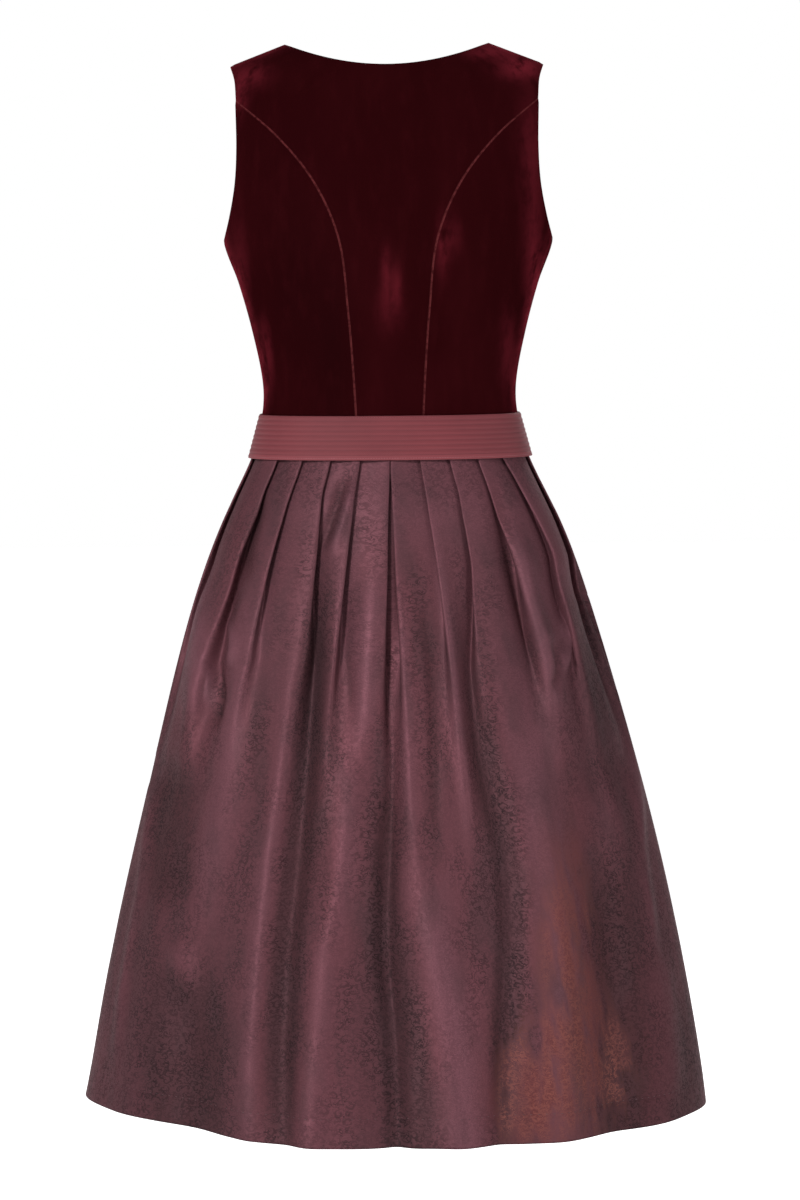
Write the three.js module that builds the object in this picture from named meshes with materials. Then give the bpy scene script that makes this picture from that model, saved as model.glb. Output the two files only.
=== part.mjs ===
// A dirndl dress, filled out as when worn, with nobody in it.
// Millimetres, +Z up. The front of the dress faces -Y, its back faces +Y, the wearer's left is +X.
// The origin lies midway between the shoulder seams, level with their ends at the neck.

import * as THREE from "three";

// Driving dimensions
const seamGap = 0.3;
const velvetWall = 1.6;
const skirtWall = 1.0;
const bandWall = 1.8;
const neckHalf = 101; // half the width of the neck opening, at the shoulder seams
const backNeckDrop = 20;
const frontNeckDrop = 115;
const frontNeckPower = 2.2; // 2 gives an elliptic scoop, more a squarer one
const shoulderHalf = 155.5; // from the centre line to the shoulder seam's outer end
const shoulderDrop = 21;
const shoulderRound = 70; // height over which the cloth turns over the shoulder
const waistSeam = -392;
const bandTop = -366;
const bandBottom = -409;
const bandRibs = 9;
const bandRibHeight = 0.5;
const bandLap = 42;
const bandStations = 64;
const bandClearance = 0.75; // to the form, so that its straight stretches clear the cloth inside
const pleatsEachSide = 12; // from the centre back to the centre front
const backPleatsEachSide = 5; // of those, the ones in the back piece
const widePleat = 4; // the pleat over the side, counted from the centre back
const wideFace = 2; // its width, in widths of the others
const pleatLayerStep = 2.5; // from one folded layer to the next, at the waist
const pleatUnderlay = 0.5; // share of a pleat's width that lies folded under its neighbour
const faceShare = 0.5; // share of a pleat's cloth that is its face
const centreUnderlay = 0.25; // pleats that each half of the centre back's underlay opens to

// The form that the dress is filled out to, one row for each level: half its width, the depth
// of its back and of its front from the side seams, and the powers of the two curves, 2 being
// an ellipse.
const formRows = [
  { z: 60, half: 160, back: 58, front: 60, backPower: 2.3, frontPower: 2.3 },
  { z: 0, half: 168, back: 64, front: 66, backPower: 2.3, frontPower: 2.3 },
  { z: -60, half: 172, back: 78, front: 84, backPower: 2.3, frontPower: 2.3 },
  { z: -104, half: 172, back: 87, front: 97, backPower: 2.35, frontPower: 2.35 },
  { z: -154, half: 168.5, back: 92, front: 112, backPower: 2.4, frontPower: 2.5 },
  { z: -197, half: 164, back: 91, front: 123, backPower: 2.4, frontPower: 2.65 },
  { z: -236, half: 150, back: 87, front: 126, backPower: 2.4, frontPower: 2.7 },
  { z: -284, half: 136.5, back: 80, front: 118, backPower: 2.35, frontPower: 2.5 },
  { z: -334, half: 126.5, back: 75, front: 107, backPower: 2.3, frontPower: 2.35 },
  { z: -366, half: 127.3, back: 77, front: 105, backPower: 2.3, frontPower: 2.3 },
  { z: -409, half: 139, back: 87, front: 111, backPower: 2.25, frontPower: 2.25 },
  { z: -454, half: 160, back: 107, front: 126, backPower: 2.2, frontPower: 2.2 },
  { z: -534, half: 189, back: 137, front: 152, backPower: 2.15, frontPower: 2.15 },
  { z: -654, half: 226, back: 174, front: 185, backPower: 2.1, frontPower: 2.1 },
  { z: -804, half: 265, back: 212, front: 219, backPower: 2.05, frontPower: 2.05 },
  { z: -954, half: 295.5, back: 243, front: 249, backPower: 2, frontPower: 2 },
  { z: -1055, half: 313.5, back: 262, front: 266, backPower: 2, frontPower: 2 },
];

// Cutting lines of the bodice, from the waist up and from the shoulder down, as places on
// the left half: x from the centre line, z height.
const backSeam = [
  { x: 32, z: waistSeam },
  { x: 35, z: -330 },
  { x: 40, z: -262 },
  { x: 48, z: -194 },
  { x: 71.5, z: -138 },
  { x: 107, z: -93 },
  { x: 149.5, z: -56 },
];
const frontSeam = [
  { x: 46, z: waistSeam },
  { x: 58, z: -325 },
  { x: 74, z: -268 },
  { x: 86, z: -225 },
  { x: 99, z: -182 },
  { x: 118, z: -146 },
  { x: 141.5, z: -115 },
];
const backArmholeAboveSeam = [
  { x: 149.5, z: -56 },
  { x: 151, z: -36 },
  { x: shoulderHalf, z: -shoulderDrop },
];
const backArmholeBelowSeam = [
  { x: 149.5, z: -56 },
  { x: 148.5, z: -100 },
  { x: 150.5, z: -137 },
  { x: 156.5, z: -170 },
  { x: 164, z: -197 },
];
const frontArmholeAboveSeam = [
  { x: 141.5, z: -115 },
  { x: 142.5, z: -80 },
  { x: 147, z: -45 },
  { x: shoulderHalf, z: -shoulderDrop },
];
const frontArmholeBelowSeam = [
  { x: 141.5, z: -115 },
  { x: 144, z: -146 },
  { x: 152, z: -176 },
  { x: 164, z: -197 },
];

// The skirt's levels: how far its pleats have opened, how deep each pleat still is, and how
// deep the broad folds are.
const skirtRows = [
  { z: -392.3, open: 0, pleat: 0, fold: 0 },
  { z: -409, open: 0.02, pleat: 7, fold: 0 },
  { z: -434, open: 0.16, pleat: 10, fold: 0 },
  { z: -472, open: 0.33, pleat: 14, fold: 0 },
  { z: -522, open: 0.5, pleat: 17, fold: 0 },
  { z: -584, open: 0.66, pleat: 18, fold: 1 },
  { z: -656, open: 0.8, pleat: 15, fold: 4 },
  { z: -738, open: 0.89, pleat: 11, fold: 9 },
  { z: -830, open: 0.95, pleat: 8, fold: 13 },
  { z: -935, open: 0.98, pleat: 5, fold: 14 },
  { z: -1055, open: 1, pleat: 2, fold: 13 },
];

// The hollows between the broad folds, where each lies from the centre back (0) round the
// wearer's left to the centre front (1), or round the right (-1), with its half width.
const skirtHollows = [
  { at: -0.9, spread: 0.06, depth: 0.8 },
  { at: -0.79, spread: 0.055, depth: 1 },
  { at: -0.705, spread: 0.05, depth: 0.7 },
  { at: -0.62, spread: 0.05, depth: 0.9 },
  { at: -0.545, spread: 0.05, depth: 0.6 },
  { at: -0.38, spread: 0.05, depth: 0.8 },
  { at: -0.279, spread: 0.055, depth: 1 },
  { at: -0.106, spread: 0.06, depth: 0.8 },
  { at: 0.012, spread: 0.045, depth: 1 },
  { at: 0.123, spread: 0.045, depth: 0.75 },
  { at: 0.262, spread: 0.07, depth: 1 },
  { at: 0.38, spread: 0.045, depth: 0.8 },
  { at: 0.55, spread: 0.05, depth: 0.7 },
  { at: 0.635, spread: 0.05, depth: 1 },
  { at: 0.72, spread: 0.05, depth: 0.75 },
  { at: 0.825, spread: 0.055, depth: 0.9 },
  { at: 0.95, spread: 0.055, depth: 0.7 },
];

// The corners of one pleat in the order of the cloth: how far along it they lie while it is
// folded and when it is open, in pleat widths, their layer while folded, and their depth
// when open.
const pleatCorners = [
  { folded: 0, open: 0, layer: 0, hollow: 0 },
  { folded: 0.5, open: 0.25, layer: 1, hollow: 0.12 },
  { folded: 1, open: 0.5, layer: 2, hollow: 0.55 },
  { folded: 1 + pleatUnderlay, open: 0.7, layer: 3, hollow: 1 },
  { folded: 1 + pleatUnderlay, open: 0.8, layer: 2, hollow: 0.88 },
  { folded: 1, open: 0.96, layer: 1, hollow: 0.14 },
];

// Smooth value of a table's column at a height, by cubic pieces through its rows.
function smoothColumn(rows, column, z) {
  const last = rows.length - 1;
  const falling = rows[0].z > rows[last].z ? 1 : -1;
  let i = 0;
  while (i < last - 1 && falling * (rows[i + 1].z - z) > 0) i += 1;
  const slope = (k) => {
    const a = rows[Math.max(0, k - 1)];
    const b = rows[Math.min(last, k + 1)];
    return (b[column] - a[column]) / (b.z - a.z);
  };
  const step = rows[i + 1].z - rows[i].z;
  const t = (z - rows[i].z) / step;
  const startValue = (1 + 2 * t) * (1 - t) ** 2 * rows[i][column];
  const endValue = t ** 2 * (3 - 2 * t) * rows[i + 1][column];
  const startSlope = t * (1 - t) ** 2 * step * slope(i);
  const endSlope = t ** 2 * (t - 1) * step * slope(i + 1);
  return startValue + endValue + startSlope + endSlope;
}

// Height of the shoulder line, and of the neck above it, at a distance from the centre.
function shoulderHeight(x) {
  const slope = shoulderDrop / (shoulderHalf - neckHalf);
  const inside = Math.max(0, neckHalf - Math.abs(x));
  const neckRise = 0.15;
  return slope * (neckHalf - Math.abs(x)) + (neckRise * inside ** 2) / neckHalf;
}

// A point of the form. turn is 0 at the centre line and a right angle at the side seam,
// positive on the wearer's left; side is 1 on the back and -1 on the front.
function formPoint(turn, z, side) {
  const power = smoothColumn(formRows, side > 0 ? "backPower" : "frontPower", z);
  const depth = smoothColumn(formRows, side > 0 ? "back" : "front", z);
  const half = smoothColumn(formRows, "half", z);
  const across = Math.abs(Math.sin(turn)) ** (2 / power);
  const out = Math.max(0, Math.cos(turn)) ** (2 / power);
  const x = Math.sign(turn) * half * across;
  const below = (shoulderHeight(x) - z) / shoulderRound;
  const turned = Math.sqrt(1 - (1 - Math.min(1, Math.max(0, below))) ** 2);
  return new THREE.Vector3(x, side * depth * out * turned, z);
}

// The turn at which the form has a given x.
function turnAt(x, z, side) {
  const power = smoothColumn(formRows, side > 0 ? "backPower" : "frontPower", z);
  const share = Math.min(1, Math.abs(x) / smoothColumn(formRows, "half", z));
  return Math.sign(x) * Math.asin(share ** (power / 2));
}

function curveThrough(line) {
  return new THREE.SplineCurve(line.map((p) => new THREE.Vector2(p.x, p.z)));
}

// Shares of a seam's length: a few steps behind the band, and even ones above it.
function seamShares(length) {
  const behind = (bandTop - waistSeam) / length;
  const above = seamSteps - stepsBehindBand;
  return Array.from({ length: seamSteps + 1 }, (_, i) =>
    i <= stepsBehindBand
      ? (behind * i) / stepsBehindBand
      : Math.min(1, behind + ((1 - behind) * (i - stepsBehindBand)) / above),
  );
}

// The places of a seam of the bodice, from the waist up, which both its panels share.
function placesOnSeam(line) {
  const curve = curveThrough(line);
  return seamShares(curve.getLength()).map((share) => curve.getPointAt(share));
}

// Places moved sideways by half the seam's gap, to the centre (-1) or to the side (1).
function besideSeam(places, direction) {
  return places.map((p, i) => {
    const before = places[Math.max(0, i - 1)];
    const after = places[Math.min(places.length - 1, i + 1)];
    const along = after.clone().sub(before).normalize();
    const shift = (direction * seamGap) / 2;
    return new THREE.Vector2(p.x + along.y * shift, p.y - along.x * shift);
  });
}

// Places in the turn and height of the form, which a panel's grid is worked out in.
function onForm(places, side) {
  return places.map((p) => new THREE.Vector2(turnAt(p.x, p.y, side), p.y));
}

// Shares of a line's length at which its places lie.
function lengthShares(places) {
  const sums = [0];
  for (let i = 1; i < places.length; i += 1) {
    sums.push(sums[i - 1] + places[i].distanceTo(places[i - 1]));
  }
  return sums.map((s) => s / sums[sums.length - 1]);
}

// A grid of places between four edges. bottom and top run from the first to the second edge,
// and the edges run from the bottom to the top.
function fillBetween(bottom, top, first, second, shares) {
  const columns = bottom.length - 1;
  const rows = first.length - 1;
  return first.map((_, i) =>
    bottom.map((_, j) => {
      const s = j / columns;
      const t = shares[i];
      const mix = (axis) => {
        const upright = (1 - t) * bottom[j][axis] + t * top[j][axis];
        const level = (1 - s) * first[i][axis] + s * second[i][axis];
        const low = (1 - s) * bottom[0][axis] + s * bottom[columns][axis];
        const high = (1 - s) * first[rows][axis] + s * second[rows][axis];
        return upright + level - (1 - t) * low - t * high;
      };
      return new THREE.Vector2(mix("x"), mix("y"));
    }),
  );
}

// A closed mesh from a grid of outer points and one of inner points.
function wallGeometry(outer, inner) {
  const rows = outer.length;
  const columns = outer[0].length;
  const points = [...outer.flat(), ...inner.flat()];
  const index = (layer, i, j) => layer * rows * columns + i * columns + j;
  const faces = [];
  const quad = (a, b, c, d) => faces.push(a, b, c, a, c, d);
  for (let i = 0; i + 1 < rows; i += 1) {
    for (let j = 0; j + 1 < columns; j += 1) {
      quad(index(0, i, j), index(0, i, j + 1), index(0, i + 1, j + 1), index(0, i + 1, j));
      quad(index(1, i, j), index(1, i + 1, j), index(1, i + 1, j + 1), index(1, i, j + 1));
    }
    const end = columns - 1;
    quad(index(0, i, 0), index(0, i + 1, 0), index(1, i + 1, 0), index(1, i, 0));
    quad(index(0, i, end), index(1, i, end), index(1, i + 1, end), index(0, i + 1, end));
  }
  for (let j = 0; j + 1 < columns; j += 1) {
    const end = rows - 1;
    quad(index(0, 0, j), index(1, 0, j), index(1, 0, j + 1), index(0, 0, j + 1));
    quad(index(0, end, j), index(0, end, j + 1), index(1, end, j + 1), index(1, end, j));
  }
  const geometry = new THREE.BufferGeometry().setFromPoints(points);
  geometry.setIndex(faces);
  geometry.computeVertexNormals();
  return geometry;
}

// The direction out of a grid at one of its points.
function gridNormal(grid, i, j) {
  const row = grid[i];
  const right = row[Math.min(row.length - 1, j + 1)].clone().sub(row[Math.max(0, j - 1)]);
  const above = grid[Math.min(grid.length - 1, i + 1)][j];
  const up = above.clone().sub(grid[Math.max(0, i - 1)][j]);
  return right.cross(up).normalize();
}

// A velvet panel from its grid of places. Where it reaches a shoulder or side seam, it stops
// at half the gap from the plane between front and back, and its waist edge is level.
function velvetPanel(name, grid, side) {
  const clear = (p) => p.setY(side * Math.max(side * p.y, seamGap / 2));
  const outer = grid.map((row) => row.map((p) => formPoint(p.x, p.y, side)));
  const inner = outer.map((row, i) =>
    row.map((p, j) => {
      const moved = p.clone().addScaledVector(gridNormal(outer, i, j), -velvetWall);
      if (i === 0) moved.z = waistSeam;
      return clear(moved);
    }),
  );
  outer.forEach((row) => row.forEach(clear));
  outer[0].forEach((p) => p.setZ(waistSeam));
  return new THREE.Mesh(wallGeometry(outer, inner), velvet(name));
}

// The same grid on the wearer's right, turned so that its faces still point out.
function mirrored(grid) {
  return grid.map((row) => row.map((p) => new THREE.Vector2(-p.x, p.y)).reverse());
}

// Materials
function velvet(name) {
  const tones = { centre: 0x2f090d, side: 0x3c0e12, front: 0x330a0e };
  const tone = name.includes("side") ? tones.side : tones.centre;
  const colour = name.includes("front") ? tones.front : tone;
  return new THREE.MeshStandardMaterial({ color: colour, roughness: 0.9, metalness: 0 });
}
const ribbon = new THREE.MeshStandardMaterial({
  color: 0x773d43,
  roughness: 0.65,
  metalness: 0,
});
const jacquard = new THREE.MeshStandardMaterial({
  color: 0x66424a,
  roughness: 0.5,
  metalness: 0,
  side: THREE.DoubleSide,
});

// Bodice
const seamSteps = 12;
const stepsBehindBand = 2;
const aboveBackSeamSteps = 4;
const aboveFrontSeamSteps = 6;
const shoulderSteps = 4;
const backNeckSteps = 5; // from the centre back to the shoulder seam
const frontNeckSteps = 8;
const sideColumns = 7;
const towardsShoulder = 1.6; // 1 spaces the rows evenly, more draws them to the shoulder

const underarm = backArmholeBelowSeam[backArmholeBelowSeam.length - 1];
const shoulderTip = new THREE.Vector2(shoulderHalf, -shoulderDrop);
const neckPoint = new THREE.Vector2(neckHalf, 0);

// The shoulder seam from the armhole to the neck, the same places on front and back.
const shoulderLine = Array.from({ length: shoulderSteps + 1 }, (_, i) =>
  shoulderTip.clone().lerp(neckPoint, i / shoulderSteps),
);

// The rows above a princess seam come closer together towards the shoulder seam, where the
// cloth turns over.
function armholeAboveSeam(line, steps) {
  const curve = curveThrough(line);
  return Array.from({ length: steps + 1 }, (_, i) =>
    curve.getPointAt(1 - (1 - i / steps) ** towardsShoulder),
  );
}

const sideSeamLength = underarm.z - waistSeam;
const sideSeamShares = seamShares(sideSeamLength);
const sideSeam = sideSeamShares.map(
  (share) => new THREE.Vector2(Math.PI / 2, waistSeam + sideSeamLength * share),
);

function waistLine(from, to, columns, side) {
  return Array.from({ length: columns + 1 }, (_, j) => {
    const start = turnAt(from, waistSeam, side);
    const end = to === null ? Math.PI / 2 : turnAt(to, waistSeam, side);
    return new THREE.Vector2(start + ((end - start) * j) / columns, waistSeam);
  });
}

function backCentreGrid() {
  const seam = besideSeam(placesOnSeam(backSeam), -1);
  const armhole = armholeAboveSeam(backArmholeAboveSeam, aboveBackSeamSteps).slice(1);
  const leftEdge = [...seam, ...armhole];
  const neck = Array.from({ length: 2 * backNeckSteps - 1 }, (_, i) => {
    const x = neckHalf * Math.cos((Math.PI * (i + 1)) / (2 * backNeckSteps));
    return new THREE.Vector2(x, -backNeckDrop * (1 - (x / neckHalf) ** 2));
  });
  const flip = (p) => new THREE.Vector2(-p.x, p.y);
  const right = [...shoulderLine].reverse().map(flip);
  const top = onForm([...shoulderLine, ...neck, ...right], 1);
  const first = onForm(leftEdge, 1);
  const second = first.map(flip);
  const columns = top.length - 1;
  const bottom = top.map((_, j) => first[0].clone().lerp(second[0], j / columns));
  return fillBetween(bottom, top, first, second, lengthShares(leftEdge));
}

function backSideGrid() {
  const seam = onForm(besideSeam(placesOnSeam(backSeam), 1), 1);
  const top = onForm(curveThrough(backArmholeBelowSeam).getSpacedPoints(sideColumns), 1);
  top[0].copy(seam[seamSteps]);
  top[sideColumns].copy(sideSeam[seamSteps]);
  const bottom = waistLine(backSeam[0].x, null, sideColumns, 1);
  bottom[0].copy(seam[0]);
  const grid = fillBetween(bottom, top, seam, sideSeam, sideSeamShares);
  return grid.map((row) => row.reverse());
}

function frontCentreGrid() {
  const seam = besideSeam(placesOnSeam(frontSeam), -1);
  const armhole = armholeAboveSeam(frontArmholeAboveSeam, aboveFrontSeamSteps).slice(1);
  const outerEdge = [...seam, ...armhole];
  const neck = Array.from({ length: frontNeckSteps }, (_, i) => {
    const angle = (Math.PI / 2) * (i / frontNeckSteps);
    const x = neckHalf * Math.sin(angle) ** (2 / frontNeckPower);
    const z = -frontNeckDrop * Math.cos(angle) ** (2 / frontNeckPower);
    return new THREE.Vector2(Math.max(x, seamGap / 2), z);
  });
  const top = onForm([...neck, ...[...shoulderLine].reverse()], -1);
  const second = onForm(outerEdge, -1);
  const shares = lengthShares(outerEdge);
  const first = shares.map((t) => {
    const z = waistSeam + t * (-frontNeckDrop - waistSeam);
    return new THREE.Vector2(turnAt(seamGap / 2, z, -1), z);
  });
  first[first.length - 1].copy(top[0]);
  const columns = top.length - 1;
  const bottom = top.map((_, j) => first[0].clone().lerp(second[0], j / columns));
  return fillBetween(bottom, top, first, second, shares);
}

function frontSideGrid() {
  const seam = onForm(besideSeam(placesOnSeam(frontSeam), 1), -1);
  const top = onForm(curveThrough(frontArmholeBelowSeam).getSpacedPoints(sideColumns), -1);
  top[0].copy(seam[seamSteps]);
  top[sideColumns].copy(sideSeam[seamSteps]);
  const bottom = waistLine(frontSeam[0].x, null, sideColumns, -1);
  bottom[0].copy(seam[0]);
  return fillBetween(bottom, top, seam, sideSeam, sideSeamShares);
}

// Level sections, for the band and the skirt. A place on one is its share of the way round:
// 0 at the centre back, 1 at the centre front round the wearer's left, -1 round the right.
function levelSection(z) {
  const steps = 90;
  const turns = Array.from({ length: 2 * steps + 1 }, (_, i) => (Math.PI * i) / (2 * steps));
  const onHalf = turns.map((turn) => {
    const side = turn <= Math.PI / 2 ? 1 : -1;
    const p = formPoint(side > 0 ? turn : Math.PI - turn, z, side);
    return new THREE.Vector2(p.x, p.y);
  });
  const shares = lengthShares(onHalf);
  return { z, onHalf, shares };
}

// The point at a share of the way round a section, moved out from it by a distance.
function sectionPoint(section, share, out) {
  const wrapped = share > 1 ? share - 2 : share;
  const size = Math.abs(wrapped);
  const last = section.shares.length - 1;
  let i = 0;
  while (i < last - 1 && section.shares[i + 1] < size) i += 1;
  const t = (size - section.shares[i]) / (section.shares[i + 1] - section.shares[i]);
  const normalAt = (k) => {
    const before = section.onHalf[Math.max(0, k - 1)];
    const after = section.onHalf[Math.min(last, k + 1)];
    const along = after.clone().sub(before).normalize();
    const isEnd = k === 0 || k === last;
    return isEnd ? new THREE.Vector2(0, k ? -1 : 1) : new THREE.Vector2(-along.y, along.x);
  };
  const place = section.onHalf[i].clone().lerp(section.onHalf[i + 1], t);
  const normal = normalAt(i).lerp(normalAt(i + 1), t).normalize();
  place.addScaledVector(normal, out);
  return new THREE.Vector3(wrapped < 0 ? -place.x : place.x, place.y, section.z);
}

function halfRound(section) {
  return section.onHalf.reduce(
    (sum, p, i, all) => (i ? sum + p.distanceTo(all[i - 1]) : 0),
    0,
  );
}

// Band: one ribbed ribbon round the waist whose end laps over its start at the centre front.
// It runs straight from its lower edge to its upper one, with its ribs on the outside.
function bandMesh() {
  const low = levelSection(bandBottom);
  const high = levelSection(bandTop);
  const lapShare = bandLap / halfRound(high);
  const start = -1 - lapShare / 2;
  const round = 2 + lapShare;
  const rise = bandWall + bandRibHeight + seamGap;
  const stations = Array.from({ length: bandStations + 1 }, (_, j) => {
    const share = start + (round * j) / bandStations;
    const past = (share - start - 2 + lapShare / 2) / (lapShare / 2);
    return { share, lifted: rise * Math.min(1, Math.max(0, past)) };
  });
  const pointAt = ({ share, lifted }, up, out) => {
    const below = sectionPoint(low, share < -1 ? share + 2 : share, out + lifted);
    const above = sectionPoint(high, share < -1 ? share + 2 : share, out + lifted);
    return below.lerp(above, up);
  };
  const outerRows = 2 * bandRibs + 1;
  const points = [];
  stations.forEach((station) => {
    for (let i = 0; i < outerRows; i += 1) {
      const rib = i % 2 ? bandRibHeight : 0;
      points.push(pointAt(station, i / (outerRows - 1), bandClearance + bandWall + rib));
    }
    points.push(pointAt(station, 1, bandClearance));
    points.push(pointAt(station, 0, bandClearance));
  });
  // Each station is a closed outline: up the ribbed outside and down the plain inside.
  const size = outerRows + 2;
  const faces = [];
  for (let j = 0; j < bandStations; j += 1) {
    for (let i = 0; i < size; i += 1) {
      const next = (i + 1) % size;
      const a = j * size + i;
      const b = j * size + next;
      faces.push(a, b, a + size, b, b + size, a + size);
    }
  }
  const corner = size - 1;
  const lastStation = bandStations * size;
  for (let i = 0; i + 1 < corner; i += 1) {
    faces.push(corner, i + 1, i);
    faces.push(lastStation + corner, lastStation + i, lastStation + i + 1);
  }
  const geometry = new THREE.BufferGeometry().setFromPoints(points);
  geometry.setIndex(faces);
  geometry.computeVertexNormals();
  return new THREE.Mesh(geometry, ribbon);
}

// Skirt
function hollowDepth(share) {
  const sum = skirtHollows.reduce((total, h) => {
    let away = Math.abs(share - h.at);
    away = Math.min(away, 2 - away) / h.spread;
    return total + (away < 1 ? h.depth * Math.cos((Math.PI / 2) * away) ** 2 : 0);
  }, 0);
  return Math.min(1, sum);
}

// The line of the cloth on one side of the skirt at a level, from the centre back to the
// centre front: shares of the way round, with depths in from the form. The centre back is an
// inverted pleat, whose underlay starts the line, and the centre front is a flat face. The
// pleat over the side has a wider face, which moves what follows it along.
function clothLine(row) {
  const extra = wideFace - 1;
  const foldedPleats = pleatsEachSide + extra;
  const openPleats = centreUnderlay + pleatsEachSide - 0.5 + extra * faceShare;
  const toPlace = (pleat, corner) => {
    const inWide = Math.min(1, corner.folded);
    const passed = pleat < widePleat ? 0 : pleat > widePleat ? 1 : inWide;
    const wider = passed * extra;
    const longer = wider * faceShare;
    const folded = (pleat + corner.folded + wider) / foldedPleats;
    const inUnderlay = (corner.open - faceShare) * 2 * centreUnderlay;
    const onPleats = centreUnderlay + pleat + corner.open + longer;
    const open = (pleat < 0 ? inUnderlay : onPleats) / openPleats;
    const isLast = pleat === pleatsEachSide - 1;
    const layered = isLast ? 0 : corner.layer * pleatLayerStep;
    const waved = corner.hollow * row.pleat;
    return {
      share: folded + (open - folded) * row.open,
      depth: layered + (waved - layered) * row.open,
    };
  };
  const line = pleatCorners.slice(2).map((corner) => toPlace(-1, corner));
  line[0].share = 0;
  for (let pleat = 0; pleat + 1 < pleatsEachSide; pleat += 1) {
    line.push(...pleatCorners.map((corner) => toPlace(pleat, corner)));
  }
  line.push(...pleatCorners.slice(0, 2).map((corner) => toPlace(pleatsEachSide - 1, corner)));
  line.push({ share: 1, depth: 0 });
  return line;
}

// Half of a level of the skirt as points, with the broad folds added.
function clothPoints(row, hand) {
  const section = levelSection(row.z);
  const least = (skirtWall + seamGap) / 2 / halfRound(section);
  return clothLine(row).map((place, i) => {
    const share = hand * (i === 0 ? 0 : Math.max(place.share, least));
    const depth = place.depth + row.fold * hollowDepth(share);
    return sectionPoint(section, share, -depth - skirtWall / 2);
  });
}

// The two faces of a wall whose middle runs along a line of points at one level, from left to
// right as its outside is seen. At a sharp corner they stay within the mitre's limit.
function wallFaces(line, wall) {
  const mitreLimit = 1.5;
  const outer = [];
  const inner = [];
  const outOf = (a, b) => {
    const along = b.clone().sub(a).setZ(0).normalize();
    return new THREE.Vector3(along.y, -along.x, 0);
  };
  line.forEach((p, j) => {
    const before = outOf(line[Math.max(0, j - 1)], j ? p : line[1]);
    const isLast = j === line.length - 1;
    const after = isLast ? before : outOf(p, line[j + 1]);
    const normal = before.clone().add(after).normalize();
    const widen = 1 / Math.max(1 / mitreLimit, normal.dot(before));
    outer.push(p.clone().addScaledVector(normal, (widen * wall) / 2));
    inner.push(p.clone().addScaledVector(normal, (-widen * wall) / 2));
  });
  return { outer, inner };
}

// A skirt piece: for each level the cloth's line from one side seam to the other.
function skirtMesh(lines) {
  const faces = lines.map((line) => wallFaces(line, skirtWall));
  const outer = faces.map((f) => f.outer).reverse();
  const inner = faces.map((f) => f.inner).reverse();
  return new THREE.Mesh(wallGeometry(outer, inner), jacquard);
}

// The side seams lie inside a pleat's inner fold, which cuts each side's line in two.
const cornersBeforeFirstPleat = pleatCorners.length - 2;
const innerFoldCorner = 3;
const cornersBeforeSeamPleat = (backPleatsEachSide - 1) * pleatCorners.length;
const seamCorner = cornersBeforeFirstPleat + cornersBeforeSeamPleat + innerFoldCorner;

function atSeam(line, direction) {
  const from = line[seamCorner];
  const to = line[seamCorner + 1];
  const middle = from.clone().lerp(to, 0.5);
  const along = to.clone().sub(from).normalize();
  return middle.addScaledVector(along, (direction * seamGap) / 2);
}

function skirtPieces() {
  const backLines = [];
  const frontLines = [];
  skirtRows.forEach((row) => {
    const left = clothPoints(row, 1);
    const right = clothPoints(row, -1);
    const backLeft = [...left.slice(0, seamCorner + 1), atSeam(left, -1)];
    const backRight = [...right.slice(0, seamCorner + 1), atSeam(right, -1)];
    backLines.push([...backLeft.reverse(), ...backRight.slice(1)]);
    const frontLeft = [atSeam(left, 1), ...left.slice(seamCorner + 1)];
    const frontRight = [atSeam(right, 1), ...right.slice(seamCorner + 1)];
    frontLines.push([...frontRight, ...frontLeft.slice(0, -1).reverse()]);
  });
  return { back: skirtMesh(backLines), front: skirtMesh(frontLines) };
}

// The dress
const dress = new THREE.Group();

function put(mesh, name) {
  mesh.name = name;
  dress.add(mesh);
}

put(velvetPanel("back", backCentreGrid(), 1), "back_centre");
put(velvetPanel("back_side", backSideGrid(), 1), "back_side_left");
put(velvetPanel("back_side", mirrored(backSideGrid()), 1), "back_side_right");
put(velvetPanel("front", frontCentreGrid(), -1), "front_left");
put(velvetPanel("front", mirrored(frontCentreGrid()), -1), "front_right");
put(velvetPanel("front_side", frontSideGrid(), -1), "front_side_left");
put(velvetPanel("front_side", mirrored(frontSideGrid()), -1), "front_side_right");
put(bandMesh(), "waistband");
const skirt = skirtPieces();
put(skirt.back, "skirt_back");
put(skirt.front, "skirt_front");

export default dress;
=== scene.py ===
"""A dirndl dress seen from behind, filled out as when worn, in soft studio light."""

import math

import bpy
import numpy as np
from mathutils import Matrix, Vector


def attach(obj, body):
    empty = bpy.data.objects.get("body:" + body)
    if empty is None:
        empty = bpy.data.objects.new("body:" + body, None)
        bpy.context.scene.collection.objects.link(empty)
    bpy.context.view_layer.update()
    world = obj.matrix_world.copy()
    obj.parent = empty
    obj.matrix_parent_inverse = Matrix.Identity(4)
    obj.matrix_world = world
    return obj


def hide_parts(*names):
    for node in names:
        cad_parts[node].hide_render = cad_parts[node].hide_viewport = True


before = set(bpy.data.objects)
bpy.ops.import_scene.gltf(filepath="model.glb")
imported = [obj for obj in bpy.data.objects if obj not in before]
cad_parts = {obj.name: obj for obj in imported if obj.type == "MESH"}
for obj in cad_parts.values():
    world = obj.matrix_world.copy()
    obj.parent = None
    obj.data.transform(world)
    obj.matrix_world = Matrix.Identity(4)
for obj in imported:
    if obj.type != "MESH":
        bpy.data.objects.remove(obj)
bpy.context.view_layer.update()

# Sizes in millimetres, as in the part's source. Meshes are made in metres.
MM = 0.001
SEAM_GAP = 0.3
SEWN_GAP = 0.04
VELVET_WALL = 1.6
SKIRT_WALL = 1.0
BAND_WALL = 1.8
NECK_HALF = 101
BACK_NECK_DROP = 22.5
FRONT_NECK_DROP = 115
FRONT_NECK_POWER = 2.2
SHOULDER_HALF = 155.5
SHOULDER_DROP = 21
SHOULDER_ROUND = 70
NECK_RISE = 0.15
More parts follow.
